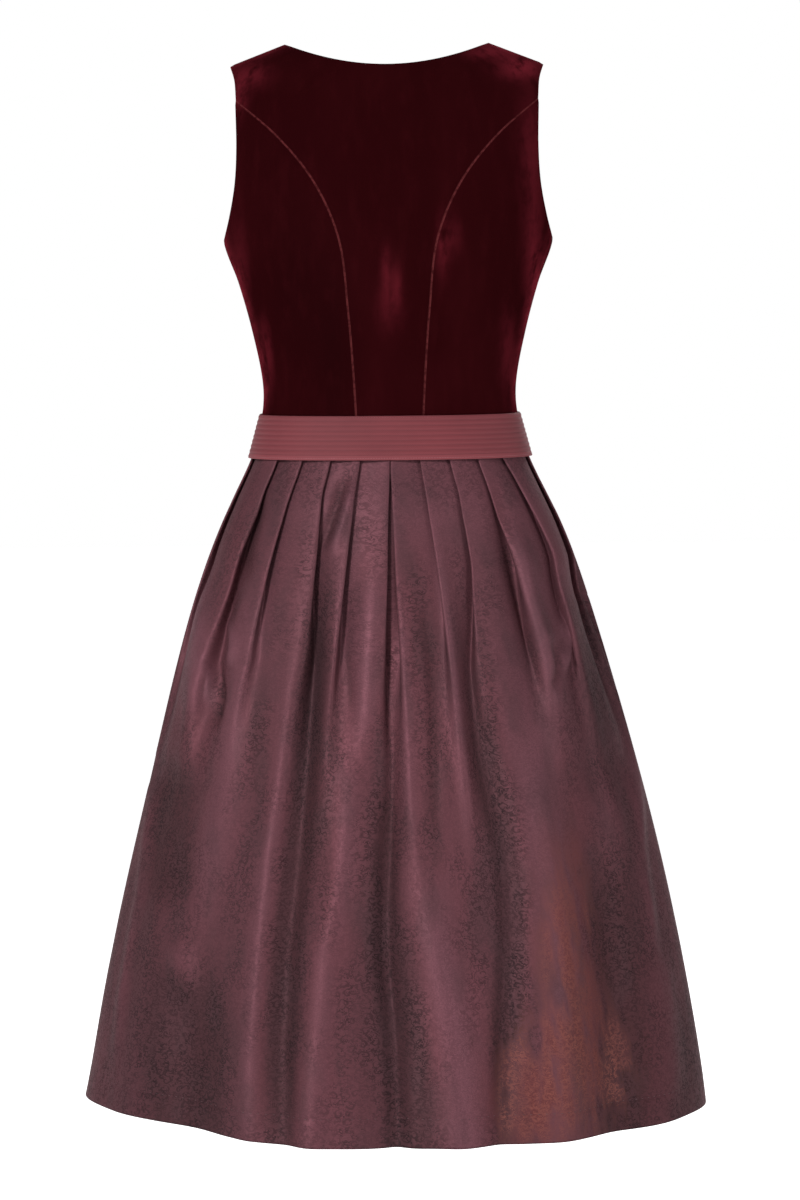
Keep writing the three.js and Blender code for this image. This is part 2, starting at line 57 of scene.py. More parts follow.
EDGE_ROLL, ROLL_REACH = 0.9, 1.8
VELVET_ROUND = 0.5
SHARP_ANGLE = 55
ROUND_SEGMENTS = 2
WAIST_SEAM = -392
BAND_TOP = -366
BAND_BOTTOM = -409
BAND_RIBS = 9
BAND_LAP = 42
BAND_CLEARANCE = 0.75
RIB_HEIGHT = 0.5
SELVEDGE_RISE = 0.55
BAND_ROUND = 0.4
PLEATS_EACH_SIDE = 12
BACK_PLEATS_EACH_SIDE = 5
WIDE_PLEAT = 4
WIDE_FACE = 2
FACE_SHARE = 0.5
PLEAT_LAYER_STEP = 2.5
PLEAT_UNDERLAY = 0.5
CENTRE_UNDERLAY = 0.25
HEM = -1055
HEM_TURN = 26
HEM_RISE = 0.7
HEM_EASE = 4
HEM_GROOVE = 0.7
GROOVE_WIDTH = 2

# How the worn skirt departs from an even one.
CREASE_FADE = 0.3
FULL_CREASE = 6
FULL_FOLD = 16
HOLLOW_SHADE = 0.9
FULLER_TOP = -470
FULLER_RIGHT, FULLER_LEFT = 0.03, 0.014
FULLER_POWER = 0.45
LIFT_TOP = -900
LIFT_FROM, LIFT_TO = 60, 270
HEM_LIFT, HEM_SAG = 13, 3.5
OUTLINE_TOP = -425
OUTLINE_FADE = 40
OUTLINE_FROM = 0.5
OUTLINE_BENDS = 6
SOFT_FROM = (500, 600, 700, 850)
SOFT_REACH = (0.01, 2.5, 6.0, 9.0)

# Stitches: their places up the band, then spacing, length and width.
BAND_LOW_STITCHES, BAND_HIGH_STITCHES = 0.045, 0.965
HIGH_STITCH_LIFT = 0.1
BAND_LOW_STITCH = (2.6, 1.9, 0.45)
BAND_HIGH_STITCH = (2.6, 1.9, 0.4)
HEM_STITCH = (7.5, 2.2, 0.5)
STITCH_SIDES = 6
STITCH_FLATNESS = 0.6

# How finely the meshes are divided.
CURVE_STEPS = 60
SECTION_STEPS = 361
SEAM_STEPS = 64
ABOVE_BACK_SEAM_STEPS = 12
ABOVE_FRONT_SEAM_STEPS = 22
ARMHOLE_CROWDING = 1.6
SHOULDER_STEPS = 12
BACK_NECK_STEPS = 14
FRONT_NECK_STEPS = 22
SIDE_COLUMNS = 32
BAND_STATIONS = 420
BAND_ROWS_PER_RIB = 6
SKIRT_LEVELS = 110
HEM_LEVELS = 15
FINE_ABOVE_HEM = HEM_TURN + 8
POINTS_PER_CORNER = 4

FORM_COLUMNS = ("z", "half", "back", "front", "back_power", "front_power")
FORM_ROWS = [
    (60, 160, 58, 60, 2.3, 2.3),
    (0, 168, 64, 66, 2.3, 2.3),
    (-60, 172, 78, 84, 2.3, 2.3),
    (-104, 172, 87, 97, 2.35, 2.35),
    (-154, 168.5, 92, 112, 2.4, 2.5),
    (-197, 164, 91, 123, 2.4, 2.65),
    (-236, 150, 87, 126, 2.4, 2.7),
    (-284, 136.5, 80, 118, 2.35, 2.5),
    (-334, 126.5, 75, 107, 2.3, 2.35),
    (-366, 127.3, 77, 105, 2.3, 2.3),
    (-409, 139, 87, 111, 2.25, 2.25),
    (-454, 160, 107, 126, 2.2, 2.2),
    (-534, 189, 137, 152, 2.15, 2.15),
    (-654, 226, 174, 185, 2.1, 2.1),
    (-804, 265, 212, 219, 2.05, 2.05),
    (-954, 295.5, 243, 249, 2, 2),
    (HEM, 313.5, 262, 266, 2, 2),
]

# Cutting lines on the left half: (x from the centre line, z height), from the waist up.
SHOULDER_END = (SHOULDER_HALF, -SHOULDER_DROP)
BACK_SEAM_END = (149.5, -56)
FRONT_SEAM_END = (141.5, -115)
UNDERARM = (164, -197)
BACK_SEAM = [(32, WAIST_SEAM), (35, -330), (40, -262), (48, -194), (71.5, -138), (107, -93), BACK_SEAM_END]
FRONT_SEAM = [(46, WAIST_SEAM), (58, -325), (74, -268), (86, -225), (99, -182), (118, -146), FRONT_SEAM_END]
BACK_ARMHOLE_ABOVE = [BACK_SEAM_END, (151, -36), SHOULDER_END]
BACK_ARMHOLE_BELOW = [BACK_SEAM_END, (148.5, -100), (150.5, -137), (156.5, -170), UNDERARM]
FRONT_ARMHOLE_ABOVE = [FRONT_SEAM_END, (142.5, -80), (147, -45), SHOULDER_END]
FRONT_ARMHOLE_BELOW = [FRONT_SEAM_END, (144, -146), (152, -176), UNDERARM]

SKIRT_COLUMNS = ("z", "open", "pleat", "fold")
SKIRT_ROWS = [
    (-392.3, 0, 0, 0),
    (-409, 0.02, 7, 0),
    (-434, 0.16, 10, 0),
    (-472, 0.33, 14, 0),
    (-522, 0.5, 17, 0),
    (-584, 0.66, 20, 2),
    (-656, 0.8, 19, 6),
    (-738, 0.89, 15, 13),
    (-830, 0.95, 9, 18),
    (-935, 0.98, 5, 17),
    (HEM, 1, 2, 9),
]

# Hollows between the broad folds: (share of the way round, half width, depth).
SKIRT_HOLLOWS = [
    (-0.9, 0.06, 0.8),
    (-0.79, 0.055, 1),
    (-0.705, 0.05, 0.7),
    (-0.62, 0.05, 0.9),
    (-0.545, 0.05, 0.6),
    (-0.38, 0.05, 0.8),
    (-0.279, 0.055, 1),
    (-0.106, 0.06, 0.8),
    (0.012, 0.045, 1),
    (0.123, 0.045, 0.75),
    (0.262, 0.07, 1),
    (0.38, 0.045, 0.8),
    (0.55, 0.05, 0.7),
    (0.635, 0.05, 1),
    (0.72, 0.05, 0.75),
    (0.825, 0.055, 0.9),
    (0.95, 0.055, 0.7),
]

# One pleat's corners: (place while folded, place when open, layer, depth when open).
PLEAT_CORNERS = [
    (0, 0, 0, 0),
    (0.5, 0.25, 1, 0.12),
    (1, FACE_SHARE, 2, 0.55),
    (1 + PLEAT_UNDERLAY, 0.7, 3, 1),
    (1 + PLEAT_UNDERLAY, 0.8, 2, 0.88),
    (1, 0.96, 1, 0.14),
]

# Fold lines that lean from the even spacing: hand, pleat, then (height, sideways shift out).
FOLD_LEANS = [
    (1, 0, [(-460, 0), (-600, -3), (-700, -5), (-820, -5), (-950, 2), (-1050, 8)]),
    (-1, 0, [(-460, 0), (-600, -1), (-760, -4), (-900, -10), (-1050, -14)]),
    (1, 2, [(-440, 0), (-500, -9), (-590, -18), (-690, -19), (-800, -10), (-980, 0)]),
    (1, 3, [(-460, 0), (-520, -2), (-600, -9), (-660, -6), (-800, 0)]),
    (-1, 2, [(-440, 0), (-510, -6), (-540, -12), (-610, -23), (-690, -26), (-850, -14), (-1000, 0)]),
    (-1, 4, [(-410, 0), (-425, 4), (-470, 10), (-500, 14), (-570, 9), (-700, 0)]),
]
LEAN_REACH = 0.05

# How deep each pleat of the back is against the others, from the centre out.
PLEAT_STRENGTHS = {
    1: [1.0, 1.15, 0.85, 1.25, 0.75, 1.1, 0.8, 1.2, 0.9, 1.1, 0.8, 1.0],
    -1: [0.7, 0.9, 1.2, 1.1, 0.8, 0.9, 1.2, 0.8, 1.1, 0.9, 1.2, 1.0],
}

# Soft ridges (above 0) and troughs (below 0) of the back: depth, half width, and the places
# (x, z) that each runs through from the top down. The front has the same ones, turned round.
CREASES = [
    (7, 20, [(124, -470), (136, -592), (152, -697), (172, -793), (190, -900)]),
    (6, 12, [(86, -540), (97, -676), (106, -733), (117, -790), (127, -875), (137, -969), (146, -1150)]),
    (-9, 14, [(62, -460), (73, -591), (83, -676), (93, -789), (104, -874), (109, -968), (102, -1150)]),
    (7, 16, [(37, -650), (43, -751), (49, -807), (65, -882), (76, -966), (94, -1150)]),
    (6, 12, [(17, -500), (23, -600), (30, -700)]),
    (-2, 7, [(42, -520), (45, -590), (39, -638), (29, -672)]),
    (-7, 10, [(2, -680), (7, -797), (10, -872), (0, -956), (-4, -1150)]),
    (-4, 18, [(0, -810), (-3, -919), (4, -1150)]),
    (4, 7, [(-36, -420), (-48, -525), (-55, -582), (-61, -658), (-70, -733), (-77, -840)]),
    (-4, 7, [(-28, -500), (-38, -601), (-40, -667), (-39, -820)]),
    (4, 8, [(-11, -500), (-12, -638), (-16, -732), (-26, -830)]),
    (
        -9,
        13,
        [(-66, -530), (-85, -668), (-95, -725), (-107, -782), (-111, -857), (-107, -932), (-98, -1150)],
    ),
    (9, 20, [(-26, -760), (-36, -854), (-49, -920), (-58, -976), (-70, -1150)]),
    (7, 9, [(-100, -440), (-125, -507), (-138, -567), (-150, -600), (-156, -670)]),
    (9, 22, [(-130, -630), (-138, -737), (-147, -813), (-156, -907), (-160, -1150)]),
    (-7, 8, [(-98, -410), (-116, -508), (-126, -556), (-140, -609), (-146, -670)]),
    (-7, 20, [(-190, -500), (-200, -667), (-205, -790)]),
    (-7, 22, [(-198, -740), (-206, -885), (-218, -1150)]),
    (4, 6, [(-232, -650), (-236, -795), (-254, -930)]),
    (4, 12, [(-252, -880), (-262, -960), (-272, -1050)]),
    (-7, 24, [(211, -680), (212, -780), (212, -860)]),
    (-9, 28, [(192, -880), (194, -1000), (196, -1150)]),
    (4, 6, [(232, -690), (247, -840), (265, -939), (280, -1050)]),
    (6, 12, [(180, -490), (185, -586), (199, -680)]),
    (6, 14, [(208, -860), (198, -913), (181, -960)]),
    (-6, 6, [(42, -415), (53, -453), (69, -502)]),
    (4, 5, [(34, -424), (44, -459), (60, -505)]),
    (-4, 8, [(124, -435), (138, -488), (143, -535)]),
    (6, 5, [(181, -592), (172, -620), (177, -652)]),
    (-6, 5, [(169, -606), (163, -636), (170, -672)]),
    (5, 5, [(154, -560), (149, -586), (155, -612)]),
    (6, 5, [(-162, -560), (-168, -590), (-163, -622)]),
    (-6, 5, [(-150, -580), (-157, -608), (-152, -640)]),
]


def smooth_column(rows, columns, name, heights):
    """Values of a table's column at some heights, by cubic pieces through its rows."""
    z = np.array([row[0] for row in rows], float)
    values = np.array([row[columns.index(name)] for row in rows], float)
    last = len(rows) - 1
    before = np.maximum(np.arange(last + 1) - 1, 0)
    after = np.minimum(np.arange(last + 1) + 1, last)
    slopes = (values[after] - values[before]) / (z[after] - z[before])
    heights = np.asarray(heights, float)
    i = np.clip(np.searchsorted(-z, -heights, side="right") - 1, 0, last - 1)
    step = z[i + 1] - z[i]
    t = (heights - z[i]) / step
    value = (1 + 2 * t) * (1 - t) ** 2 * values[i] + t**2 * (3 - 2 * t) * values[i + 1]
    return value + step * (t * (1 - t) ** 2 * slopes[i] + t**2 * (t - 1) * slopes[i + 1])


def form(name, heights):
    return smooth_column(FORM_ROWS, FORM_COLUMNS, name, heights)


def ease(share):
    """A share from 0 to 1 that starts and ends softly."""
    share = np.clip(share, 0, 1)
    return share**2 * (3 - 2 * share)


def unit(vectors):
    return vectors / np.linalg.norm(vectors, axis=-1)[..., None]


def lengths_along(points):
    """How far along its line each point lies."""
    steps = np.linalg.norm(np.diff(points, axis=0), axis=1)
    return np.concatenate([[0], np.cumsum(steps)])


def shoulder_height(x):
    slope = SHOULDER_DROP / (SHOULDER_HALF - NECK_HALF)
    inside = np.maximum(0, NECK_HALF - np.abs(x))
    return slope * (NECK_HALF - np.abs(x)) + NECK_RISE * inside**2 / NECK_HALF


def side_form(side, column, z):
    return form(("back" if side > 0 else "front") + column, z)


def form_points(turn, z, side):
    """Points of the form: turn is 0 at the centre line and a right angle at the side."""
    power = side_form(side, "_power", z)
    depth = side_form(side, "", z)
    across = np.abs(np.sin(turn)) ** (2 / power)
    out = np.maximum(0, np.cos(turn)) ** (2 / power)
    x = np.sign(turn) * form("half", z) * across
    below = np.clip((shoulder_height(x) - z) / SHOULDER_ROUND, 0, 1)
    y = side * depth * out * np.sqrt(1 - (1 - below) ** 2)
    return np.stack([x, y, np.broadcast_to(z, x.shape)], axis=-1)


def turn_at(x, z, side):
    power = side_form(side, "_power", z)
    share = np.minimum(1, np.abs(x) / form("half", z))
    return np.sign(x) * np.arcsin(share ** (power / 2))


def spline_places(line, shares):
    """Places on a smooth curve through a line's points, at shares of its length."""
    p = np.array(line, float)
    p = np.vstack([p[0], p, p[-1]])
    t = np.linspace(0, 1, CURVE_STEPS, endpoint=False)[:, None]
    pieces = []
    for i in range(1, len(p) - 2):
        a, b, c, d = p[i - 1 : i + 3]
        slope_b, slope_c = (c - a) / 2, (d - b) / 2
        pieces.append(
            (2 * b - 2 * c + slope_b + slope_c) * t**3
            + (-3 * b + 3 * c - 2 * slope_b - slope_c) * t**2
            + slope_b * t
            + b
        )
    dense = np.vstack([*pieces, p[-2]])
    along = lengths_along(dense)
    wanted = np.asarray(shares) * along[-1]
    return np.stack([np.interp(wanted, along, dense[:, k]) for k in (0, 1)], axis=1)


def beside_seam(places, direction):
    along = unit(np.gradient(places, axis=0))
    shift = direction * SEWN_GAP / 2
    return places + shift * np.stack([along[:, 1], -along[:, 0]], axis=1)


def on_form(places, side):
    return np.stack([turn_at(places[:, 0], places[:, 1], side), places[:, 1]], axis=1)


def length_shares(places):
    along = lengths_along(places)
    return along / along[-1]


def fill_between(bottom, top, first, second, shares):
    """A grid of places between four edges."""
    s = np.linspace(0, 1, len(bottom))[None, :, None]
    t = np.asarray(shares)[:, None, None]
    upright = (1 - t) * bottom[None] + t * top[None]
    level = (1 - s) * first[:, None] + s * second[:, None]
    low = (1 - s) * bottom[0] + s * bottom[-1]
    high = (1 - s) * first[-1] + s * second[-1]
    return upright + level - (1 - t) * low - t * high


def grid_normals(points):
    across = np.gradient(points, axis=1)
    up = np.gradient(points, axis=0)
    normals = np.cross(across, up)
    return normals / np.maximum(1e-9, np.linalg.norm(normals, axis=2))[..., None]


def wall_faces(rows, columns):
    """Faces of a closed wall whose outer grid comes first and whose inner grid follows."""
    i, j = np.meshgrid(np.arange(rows - 1), np.arange(columns - 1), indexing="ij")
    a = (i * columns + j).ravel()
    k = rows * columns
    inner = a + k
    up = np.arange(rows - 1) * columns
    end = up + columns - 1
    along = np.arange(columns - 1)
    high = along + (rows - 1) * columns
    quads = [
        (a, a + 1, a + columns + 1, a + columns),
        (inner, inner + columns, inner + columns + 1, inner + 1),
        (up, up + columns, up + columns + k, up + k),
        (end, end + k, end + columns + k, end + columns),
        (along, along + k, along + 1 + k, along + 1),
        (high, high + 1, high + 1 + k, high + k),
    ]
    return np.vstack([np.stack(corners, axis=1) for corners in quads])


def new_object(name, data):
    made = bpy.data.objects.new(name, data)
    bpy.context.scene.collection.objects.link(made)
    return made


def new_mesh(name, vertices, faces, material):
    """A mesh object from points in millimetres."""
    mesh = bpy.data.meshes.new(name)
    mesh.from_pydata((np.asarray(vertices) * MM).tolist(), [], [tuple(face) for face in faces])
    mesh.update()
    mesh.polygons.foreach_set("use_smooth", [True] * len(mesh.polygons))
    mesh.materials.append(material)
    return new_object(name, mesh)


def new_wall(name, outer, inner, material):
    vertices = np.vstack([outer.reshape(-1, 3), inner.reshape(-1, 3)])
    return new_mesh(name, vertices, wall_faces(*outer.shape[:2]), material)


def both_sides(values):
    """Values of a wall's grid, for its outer points and then its inner ones."""
    return np.tile(np.ravel(values), 2)


def add_values(piece, name, values):
    """A number for each point of a wall's grid, which a material reads by name."""
    attribute = piece.data.attributes.new(name, "FLOAT", "POINT")
    attribute.data.foreach_set("value", both_sides(values).astype(np.float32))


def add_cloth_coordinates(piece, u, v):
    """A UV map in metres of cloth."""
    layer = piece.data.uv_layers.new(name="cloth")
    index = np.zeros(len(piece.data.loops), np.int32)
    piece.data.loops.foreach_get("vertex_index", index)
    uv = np.stack([both_sides(u), both_sides(v)], axis=1) * MM
    layer.data.foreach_set("uv", uv[index].astype(np.float32).ravel())


def spots(places, points):
    """Soft spots on the back of the dress: (x, z, across, up, strength)."""
    total = np.zeros(points.shape[:-1])
    for x, z, across, up, strength in places:
        away = ((points[..., 0] - x) / across) ** 2 + ((points[..., 2] - z) / up) ** 2
        total += strength * np.exp(-away)
    return np.where(points[..., 1] > 0, np.clip(total, -1, 1), 0)


def round_edges(piece, width):
    modifier = piece.modifiers.new("edges", "BEVEL")
    modifier.width = width * MM
    modifier.segments = ROUND_SEGMENTS
    modifier.limit_method = "ANGLE"
    modifier.angle_limit = math.radians(SHARP_ANGLE)
    bpy.context.view_layer.objects.active = piece
    with bpy.context.temp_override(object=piece, active_object=piece):
        bpy.ops.object.modifier_apply(modifier=modifier.name)


# Materials


class Nodes:
    """Short ways to add and link the nodes of a material or of the world."""

    def __init__(self, name, kind="materials", shader="Principled BSDF"):
        self.owner = getattr(bpy.data, kind).new(name)
        self.owner.use_nodes = True
        self.tree = self.owner.node_tree
        self.shader = self.tree.nodes[shader]

    def add(self, kind, inputs=None, **settings):
        node = self.tree.nodes.new(kind)
        for key, value in settings.items():
            setattr(node, key, value)
        for key, value in (inputs or {}).items():
            self.set(node.inputs[key], value)
        return node

    def set(self, socket, value):
        if isinstance(value, bpy.types.NodeSocket):
            self.tree.links.new(value, socket)
        else:
            socket.default_value = value

    def math(self, operation, a, b=0.0, clamp=False):
        settings = {"operation": operation, "use_clamp": clamp}
        return self.add("ShaderNodeMath", {0: a, 1: b}, **settings).outputs[0]

    def plus(self, a, b, clamp=False):
        return self.math("ADD", a, b, clamp)

    def times(self, a, b, clamp=False):
        return self.math("MULTIPLY", a, b, clamp)

    def line_near(self, value, wide, thin):
        """Soft lines where a repeating value is halfway through its round."""
        away = self.math("ABSOLUTE", self.math("SUBTRACT", self.math("FRACT", value), 0.5))
        return self.ramp(away, wide, thin)

    def ramp(self, value, low, high):
        inputs = {"Value": value, "From Min": low, "From Max": high}
        soft = "SMOOTHSTEP"
        return self.add("ShaderNodeMapRange", inputs, interpolation_type=soft).outputs[0]

    def mix(self, share, a, b):
        inputs = {"Factor": share, 6: a, 7: b}
        return self.add("ShaderNodeMix", inputs, data_type="RGBA").outputs[2]

    def noise(self, place, scale, detail=2.0, roughness=0.5):
        inputs = {"Vector": place, "Scale": scale, "Detail": detail, "Roughness": roughness}
        return self.add("ShaderNodeTexNoise", inputs).outputs["Fac"]

    def moved(self, place, scale):
        return self.add("ShaderNodeMapping", {"Vector": place, "Scale": scale}).outputs[0]

    def look(self, settings):
        """The shader's own sockets, by constants or links."""
        for key, value in settings.items():
            self.set(self.shader.inputs[key], value)

    def value(self, name):
        return self.add("ShaderNodeAttribute", attribute_name=name).outputs["Fac"]

    def bump(self, height, strength, distance):
        inputs = {"Height": height, "Strength": strength, "Distance": distance}
        self.look({"Normal": self.add("ShaderNodeBump", inputs).outputs[0]})


def velvet_material():
    n = Nodes("velvet")
    place = n.add("ShaderNodeTexCoord").outputs["Object"]
    darkest = (0.009, 0.0010, 0.0015, 1)
    deep = (0.0155, 0.0013, 0.0020, 1)
    brushed = (0.032, 0.0031, 0.0043, 1)
    sheen_rosy = (0.150, 0.013, 0.022, 1)
    seam_sheen = (0.120, 0.024, 0.026, 1)
    # The pile leans in broad drifts, in short brushed streaks and in small blots.
    drift = n.noise(n.moved(place, (9, 9, 4)), 1.3, 2)
    streak = n.noise(n.moved(place, (85, 85, 22)), 1.0, 3, 0.6)
    blot = n.noise(place, 70, 4, 0.65)
    lean = n.plus(n.times(drift, 0.45), n.times(blot, 0.55))
    colour = n.mix(n.times(n.ramp(drift, 0.35, 0.75), 0.35), deep, brushed)
    # Painted sheen: where the cloth turns away, and at spots on the back, it is mixed towards rosy.
    edge = n.add("ShaderNodeLayerWeight", {"Blend": 0.5}).outputs["Facing"]
    turned = n.times(n.ramp(edge, 0.45, 0.95), n.ramp(lean, 0.36, 0.62))
    brush = n.plus(n.times(streak, 0.6), n.times(blot, 0.4))
    sheen_and_shade = n.times(n.value("sheen_and_shade"), n.ramp(brush, 0.28, 0.6))
    shine = n.plus(n.times(turned, 0.85), sheen_and_shade, clamp=True)
    colour = n.mix(shine, colour, sheen_rosy)
    # Painted shade where the spot values are below 0.
    colour = n.mix(n.times(n.value("sheen_and_shade"), -0.8, clamp=True), colour, darkest)
    colour = n.mix(n.times(n.ramp(streak, 0.45, 0.75), 0.22), colour, brushed)
    # Painted sheen along the seams, where the pile parts, broken up by noise.
    seam = n.ramp(n.value("seam"), 1.5, 0.3)
    broken = n.ramp(n.noise(place, 260, 2), 0.3, 0.6)
    seam = n.times(seam, n.plus(0.25, n.times(broken, 0.5)))
    colour = n.mix(seam, colour, seam_sheen)
    n.look({"Base Color": colour, "Roughness": 0.95, "Specular IOR Level": 0.0})
    n.look({"Sheen Weight": 0.06, "Sheen Roughness": 0.35, "Sheen Tint": (0.9, 0.14, 0.2, 1)})
    pile = n.noise(place, 1500, 2, 0.7)
    n.bump(n.plus(pile, n.times(streak, 0.8)), 0.3, 0.0005)
    return n.owner


def scroll_figure(n, cloth, cells_per_metre, turns):
    """Small curls, one to each cell of a loose net, as a mask of thin lines."""
    scale = {0: cloth, "Scale": cells_per_metre}
    scaled = n.add("ShaderNodeVectorMath", scale, operation="SCALE").outputs[0]
    loose = {"Vector": scaled, "Scale": 1.0, "Randomness": 0.9}
    cells = n.add("ShaderNodeTexVoronoi", loose, voronoi_dimensions="2D")
    from_middle = {0: scaled, 1: cells.outputs["Position"]}
    offset = n.add("ShaderNodeVectorMath", from_middle, operation="SUBTRACT")
    parts = n.add("ShaderNodeSeparateXYZ", {"Vector": offset.outputs[0]})
    tone = n.add("ShaderNodeSeparateColor", {"Color": cells.outputs["Color"]})
    radius = cells.outputs["Distance"]
    angle = n.math("DIVIDE", n.math("ARCTAN2", parts.outputs[1], parts.outputs[0]), 2 * math.pi)
    hand = n.math("SIGN", n.math("SUBTRACT", tone.outputs[0], 0.5))
    winding = n.plus(n.times(angle, hand), n.times(radius, turns))
    line = n.line_near(n.plus(winding, n.times(tone.outputs[1], 5)), 0.26, 0.12)
    return n.times(line, n.ramp(radius, 0.68, 0.5))


def jacquard_material():
    n = Nodes("jacquard")
    place = n.add("ShaderNodeTexCoord").outputs["Object"]
    cloth = n.add("ShaderNodeUVMap", uv_map="cloth").outputs[0]
    wavy = {"Vector": cloth, "Scale": 190.0, "Detail": 1.0}
    wander = n.add("ShaderNodeTexNoise", wavy, noise_dimensions="2D").outputs["Color"]
    bent = {0: wander, 1: (0.004, 0.004, 0), 2: cloth}
    bend = n.add("ShaderNodeVectorMath", bent, operation="MULTIPLY_ADD")
    curls = scroll_figure(n, n.moved(bend.outputs[0], (0.8, 1.25, 1)), 112.0, 1.7)
    long_waves = {"Vector": n.moved(cloth, (0.7, 1.4, 1)), "Scale": 180.0, "Detail": 1.0}
    vines = n.add("ShaderNodeTexNoise", long_waves, noise_dimensions="2D")
    vine = n.line_near(n.times(vines.outputs["Fac"], 6.0), 0.24, 0.12)
    vine = n.times(vine, n.ramp(n.noise(cloth, 170, 1), 0.42, 0.56))
    patches = n.ramp(n.noise(n.moved(cloth, (1.6, 0.7, 1)), 22, 2), 0.38, 0.6)
    figure = n.math("MAXIMUM", n.times(curls, 0.7), vine)
    fine = n.noise(n.moved(cloth, (0.8, 1.3, 1)), 290, 1)
    fine = n.line_near(n.times(fine, 5.0), 0.3, 0.12)
    ground = (0.142, 0.051, 0.063, 1)
    warm = (0.132, 0.032, 0.030, 1)
    grey = (0.060, 0.026, 0.029, 1)
    lit_ground = (0.200, 0.082, 0.104, 1)
    lit_warm = (0.160, 0.045, 0.042, 1)
    dull = (0.085, 0.042, 0.050, 1)
    mottle = (0.070, 0.038, 0.043, 1)
    dark_figure = (0.026, 0.016, 0.018, 1)
    light_figure = (0.285, 0.098, 0.080, 1)
    shade = n.value("shade")
    # The shot cloth looks warmer in places, and greyer where it turns away.
    drifts = n.ramp(n.noise(n.moved(cloth, (1.6, 0.5, 1)), 40, 4), 0.2, 0.62)
    warmth = n.times(n.value("warmth"), drifts)
    facing = n.add("ShaderNodeLayerWeight", {"Blend": 0.5}).outputs["Facing"]
    turned = n.times(n.ramp(facing, 0.35, 0.95), 0.4)
    colour = n.mix(turned, n.mix(warmth, ground, warm), grey)
    # Painted shade towards grey where the shade value is above 0, and painted light where it is below 0.
    colour = n.mix(n.times(shade, 0.8, clamp=True), colour, grey)
    light = n.mix(warmth, lit_ground, lit_warm)
    colour = n.mix(n.times(shade, -0.55, clamp=True), colour, light)
    uneven = n.ramp(n.noise(n.moved(place, (6, 6, 1.6)), 1.5, 3), 0.35, 0.7)
    colour = n.mix(n.times(uneven, 0.3), colour, dull)
    mottled = n.ramp(n.noise(n.moved(place, (26, 26, 9)), 1.6, 3), 0.45, 0.7)
    colour = n.mix(n.times(mottled, 0.35), colour, mottle)
    # The figure is dark, clearest in the shade, and light where the cloth looks warm.
    scroll = n.mix(n.ramp(warmth, 0.15, 0.6), dark_figure, light_figure)
    clearer = n.plus(0.18, n.times(shade, 0.35))
    patches = n.times(patches, n.math("SUBTRACT", 1.0, warmth, clamp=True))
    clearer = n.plus(clearer, n.times(patches, 0.45), clamp=True)
    clearer = n.math("MAXIMUM", clearer, n.times(warmth, 0.6))
    seen = n.math("MAXIMUM", n.times(figure, clearer), n.times(fine, 0.2))
    colour = n.mix(seen, colour, scroll)
    n.look({"Base Color": colour, "Roughness": n.plus(0.5, n.times(figure, 0.15))})
    n.look({"Metallic": 0.35, "Specular IOR Level": 0.1, "Specular Tint": (0.5, 0.36, 0.38, 1)})
    ribbing = {"Vector": cloth, "Scale": 620.0, "Distortion": 0.4, "Detail": 1.0}
    rib = n.add("ShaderNodeTexWave", ribbing, bands_direction="Y")
    weave = n.plus(n.times(figure, 0.6), n.times(rib.outputs["Fac"], 0.3))
    n.bump(weave, 0.4, 0.00025)
    return n.owner


def ribbon_material():
    n = Nodes("ribbon")
    cloth = n.add("ShaderNodeUVMap", uv_map="cloth").outputs[0]
    base = (0.165, 0.029, 0.036, 1)
    light = (0.230, 0.050, 0.060, 1)
    dark = (0.085, 0.016, 0.021, 1)
    slanting = {"Vector": cloth, "Scale": 330.0, "Distortion": 0.0}
    zigzag = n.add("ShaderNodeTexWave", slanting, bands_direction="DIAGONAL")
    # Painted shade in the grooves between the ribs.
    colour = n.mix(n.ramp(n.value("rib"), -0.5, 0.6), dark, base)
    level = {"Vector": cloth, "Scale": 215.0, "Distortion": 0.3}
    lines = n.add("ShaderNodeTexWave", level, bands_direction="Y")
    colour = n.mix(n.times(lines.outputs["Fac"], 0.45), colour, dark)
    colour = n.mix(n.times(zigzag.outputs["Fac"], 0.3), colour, light)
    worn = n.ramp(n.noise(cloth, 14, 3), 0.35, 0.7)
    colour = n.mix(n.times(worn, 0.25), colour, dark)
    colour = n.mix(n.times(n.value("selvedge"), 0.45), colour, light)
    n.look({"Base Color": colour, "Roughness": 0.65, "Specular IOR Level": 0.25})
    n.look({"Sheen Weight": 0.12, "Sheen Tint": (1.0, 0.5, 0.55, 1)})
    n.bump(zigzag.outputs["Fac"], 0.4, 0.0002)
    return n.owner


def thread_material(name, colour):
    n = Nodes(name)
    n.look({"Base Color": colour, "Roughness": 0.55})
    place = n.add("ShaderNodeTexCoord").outputs["Object"]
    n.bump(n.noise(place, 3000, 1), 0.3, 0.0001)
    return n.owner


velvet = velvet_material()
jacquard = jacquard_material()
ribbon = ribbon_material()
thread = thread_material("thread", (0.26, 0.085, 0.098, 1))
hem_thread = thread_material("hem_thread", (0.075, 0.034, 0.040, 1))

# Bodice


seam_shares = np.linspace(0, 1, SEAM_STEPS + 1)
side_seam = np.stack(
    [np.full(SEAM_STEPS + 1, math.pi / 2), WAIST_SEAM + (UNDERARM[1] - WAIST_SEAM) * seam_shares],
    axis=1,
)
shoulder_line = np.linspace(SHOULDER_END, (NECK_HALF, 0), SHOULDER_STEPS + 1)


def centre_edge(seam, armhole, steps):
    """A centre panel's edge: its princess seam and the armhole above that."""
    shares = 1 - (1 - np.linspace(0, 1, steps + 1)) ** ARMHOLE_CROWDING
    above = spline_places(armhole, shares)[1:]
    return np.vstack([beside_seam(spline_places(seam, seam_shares), -1), above])


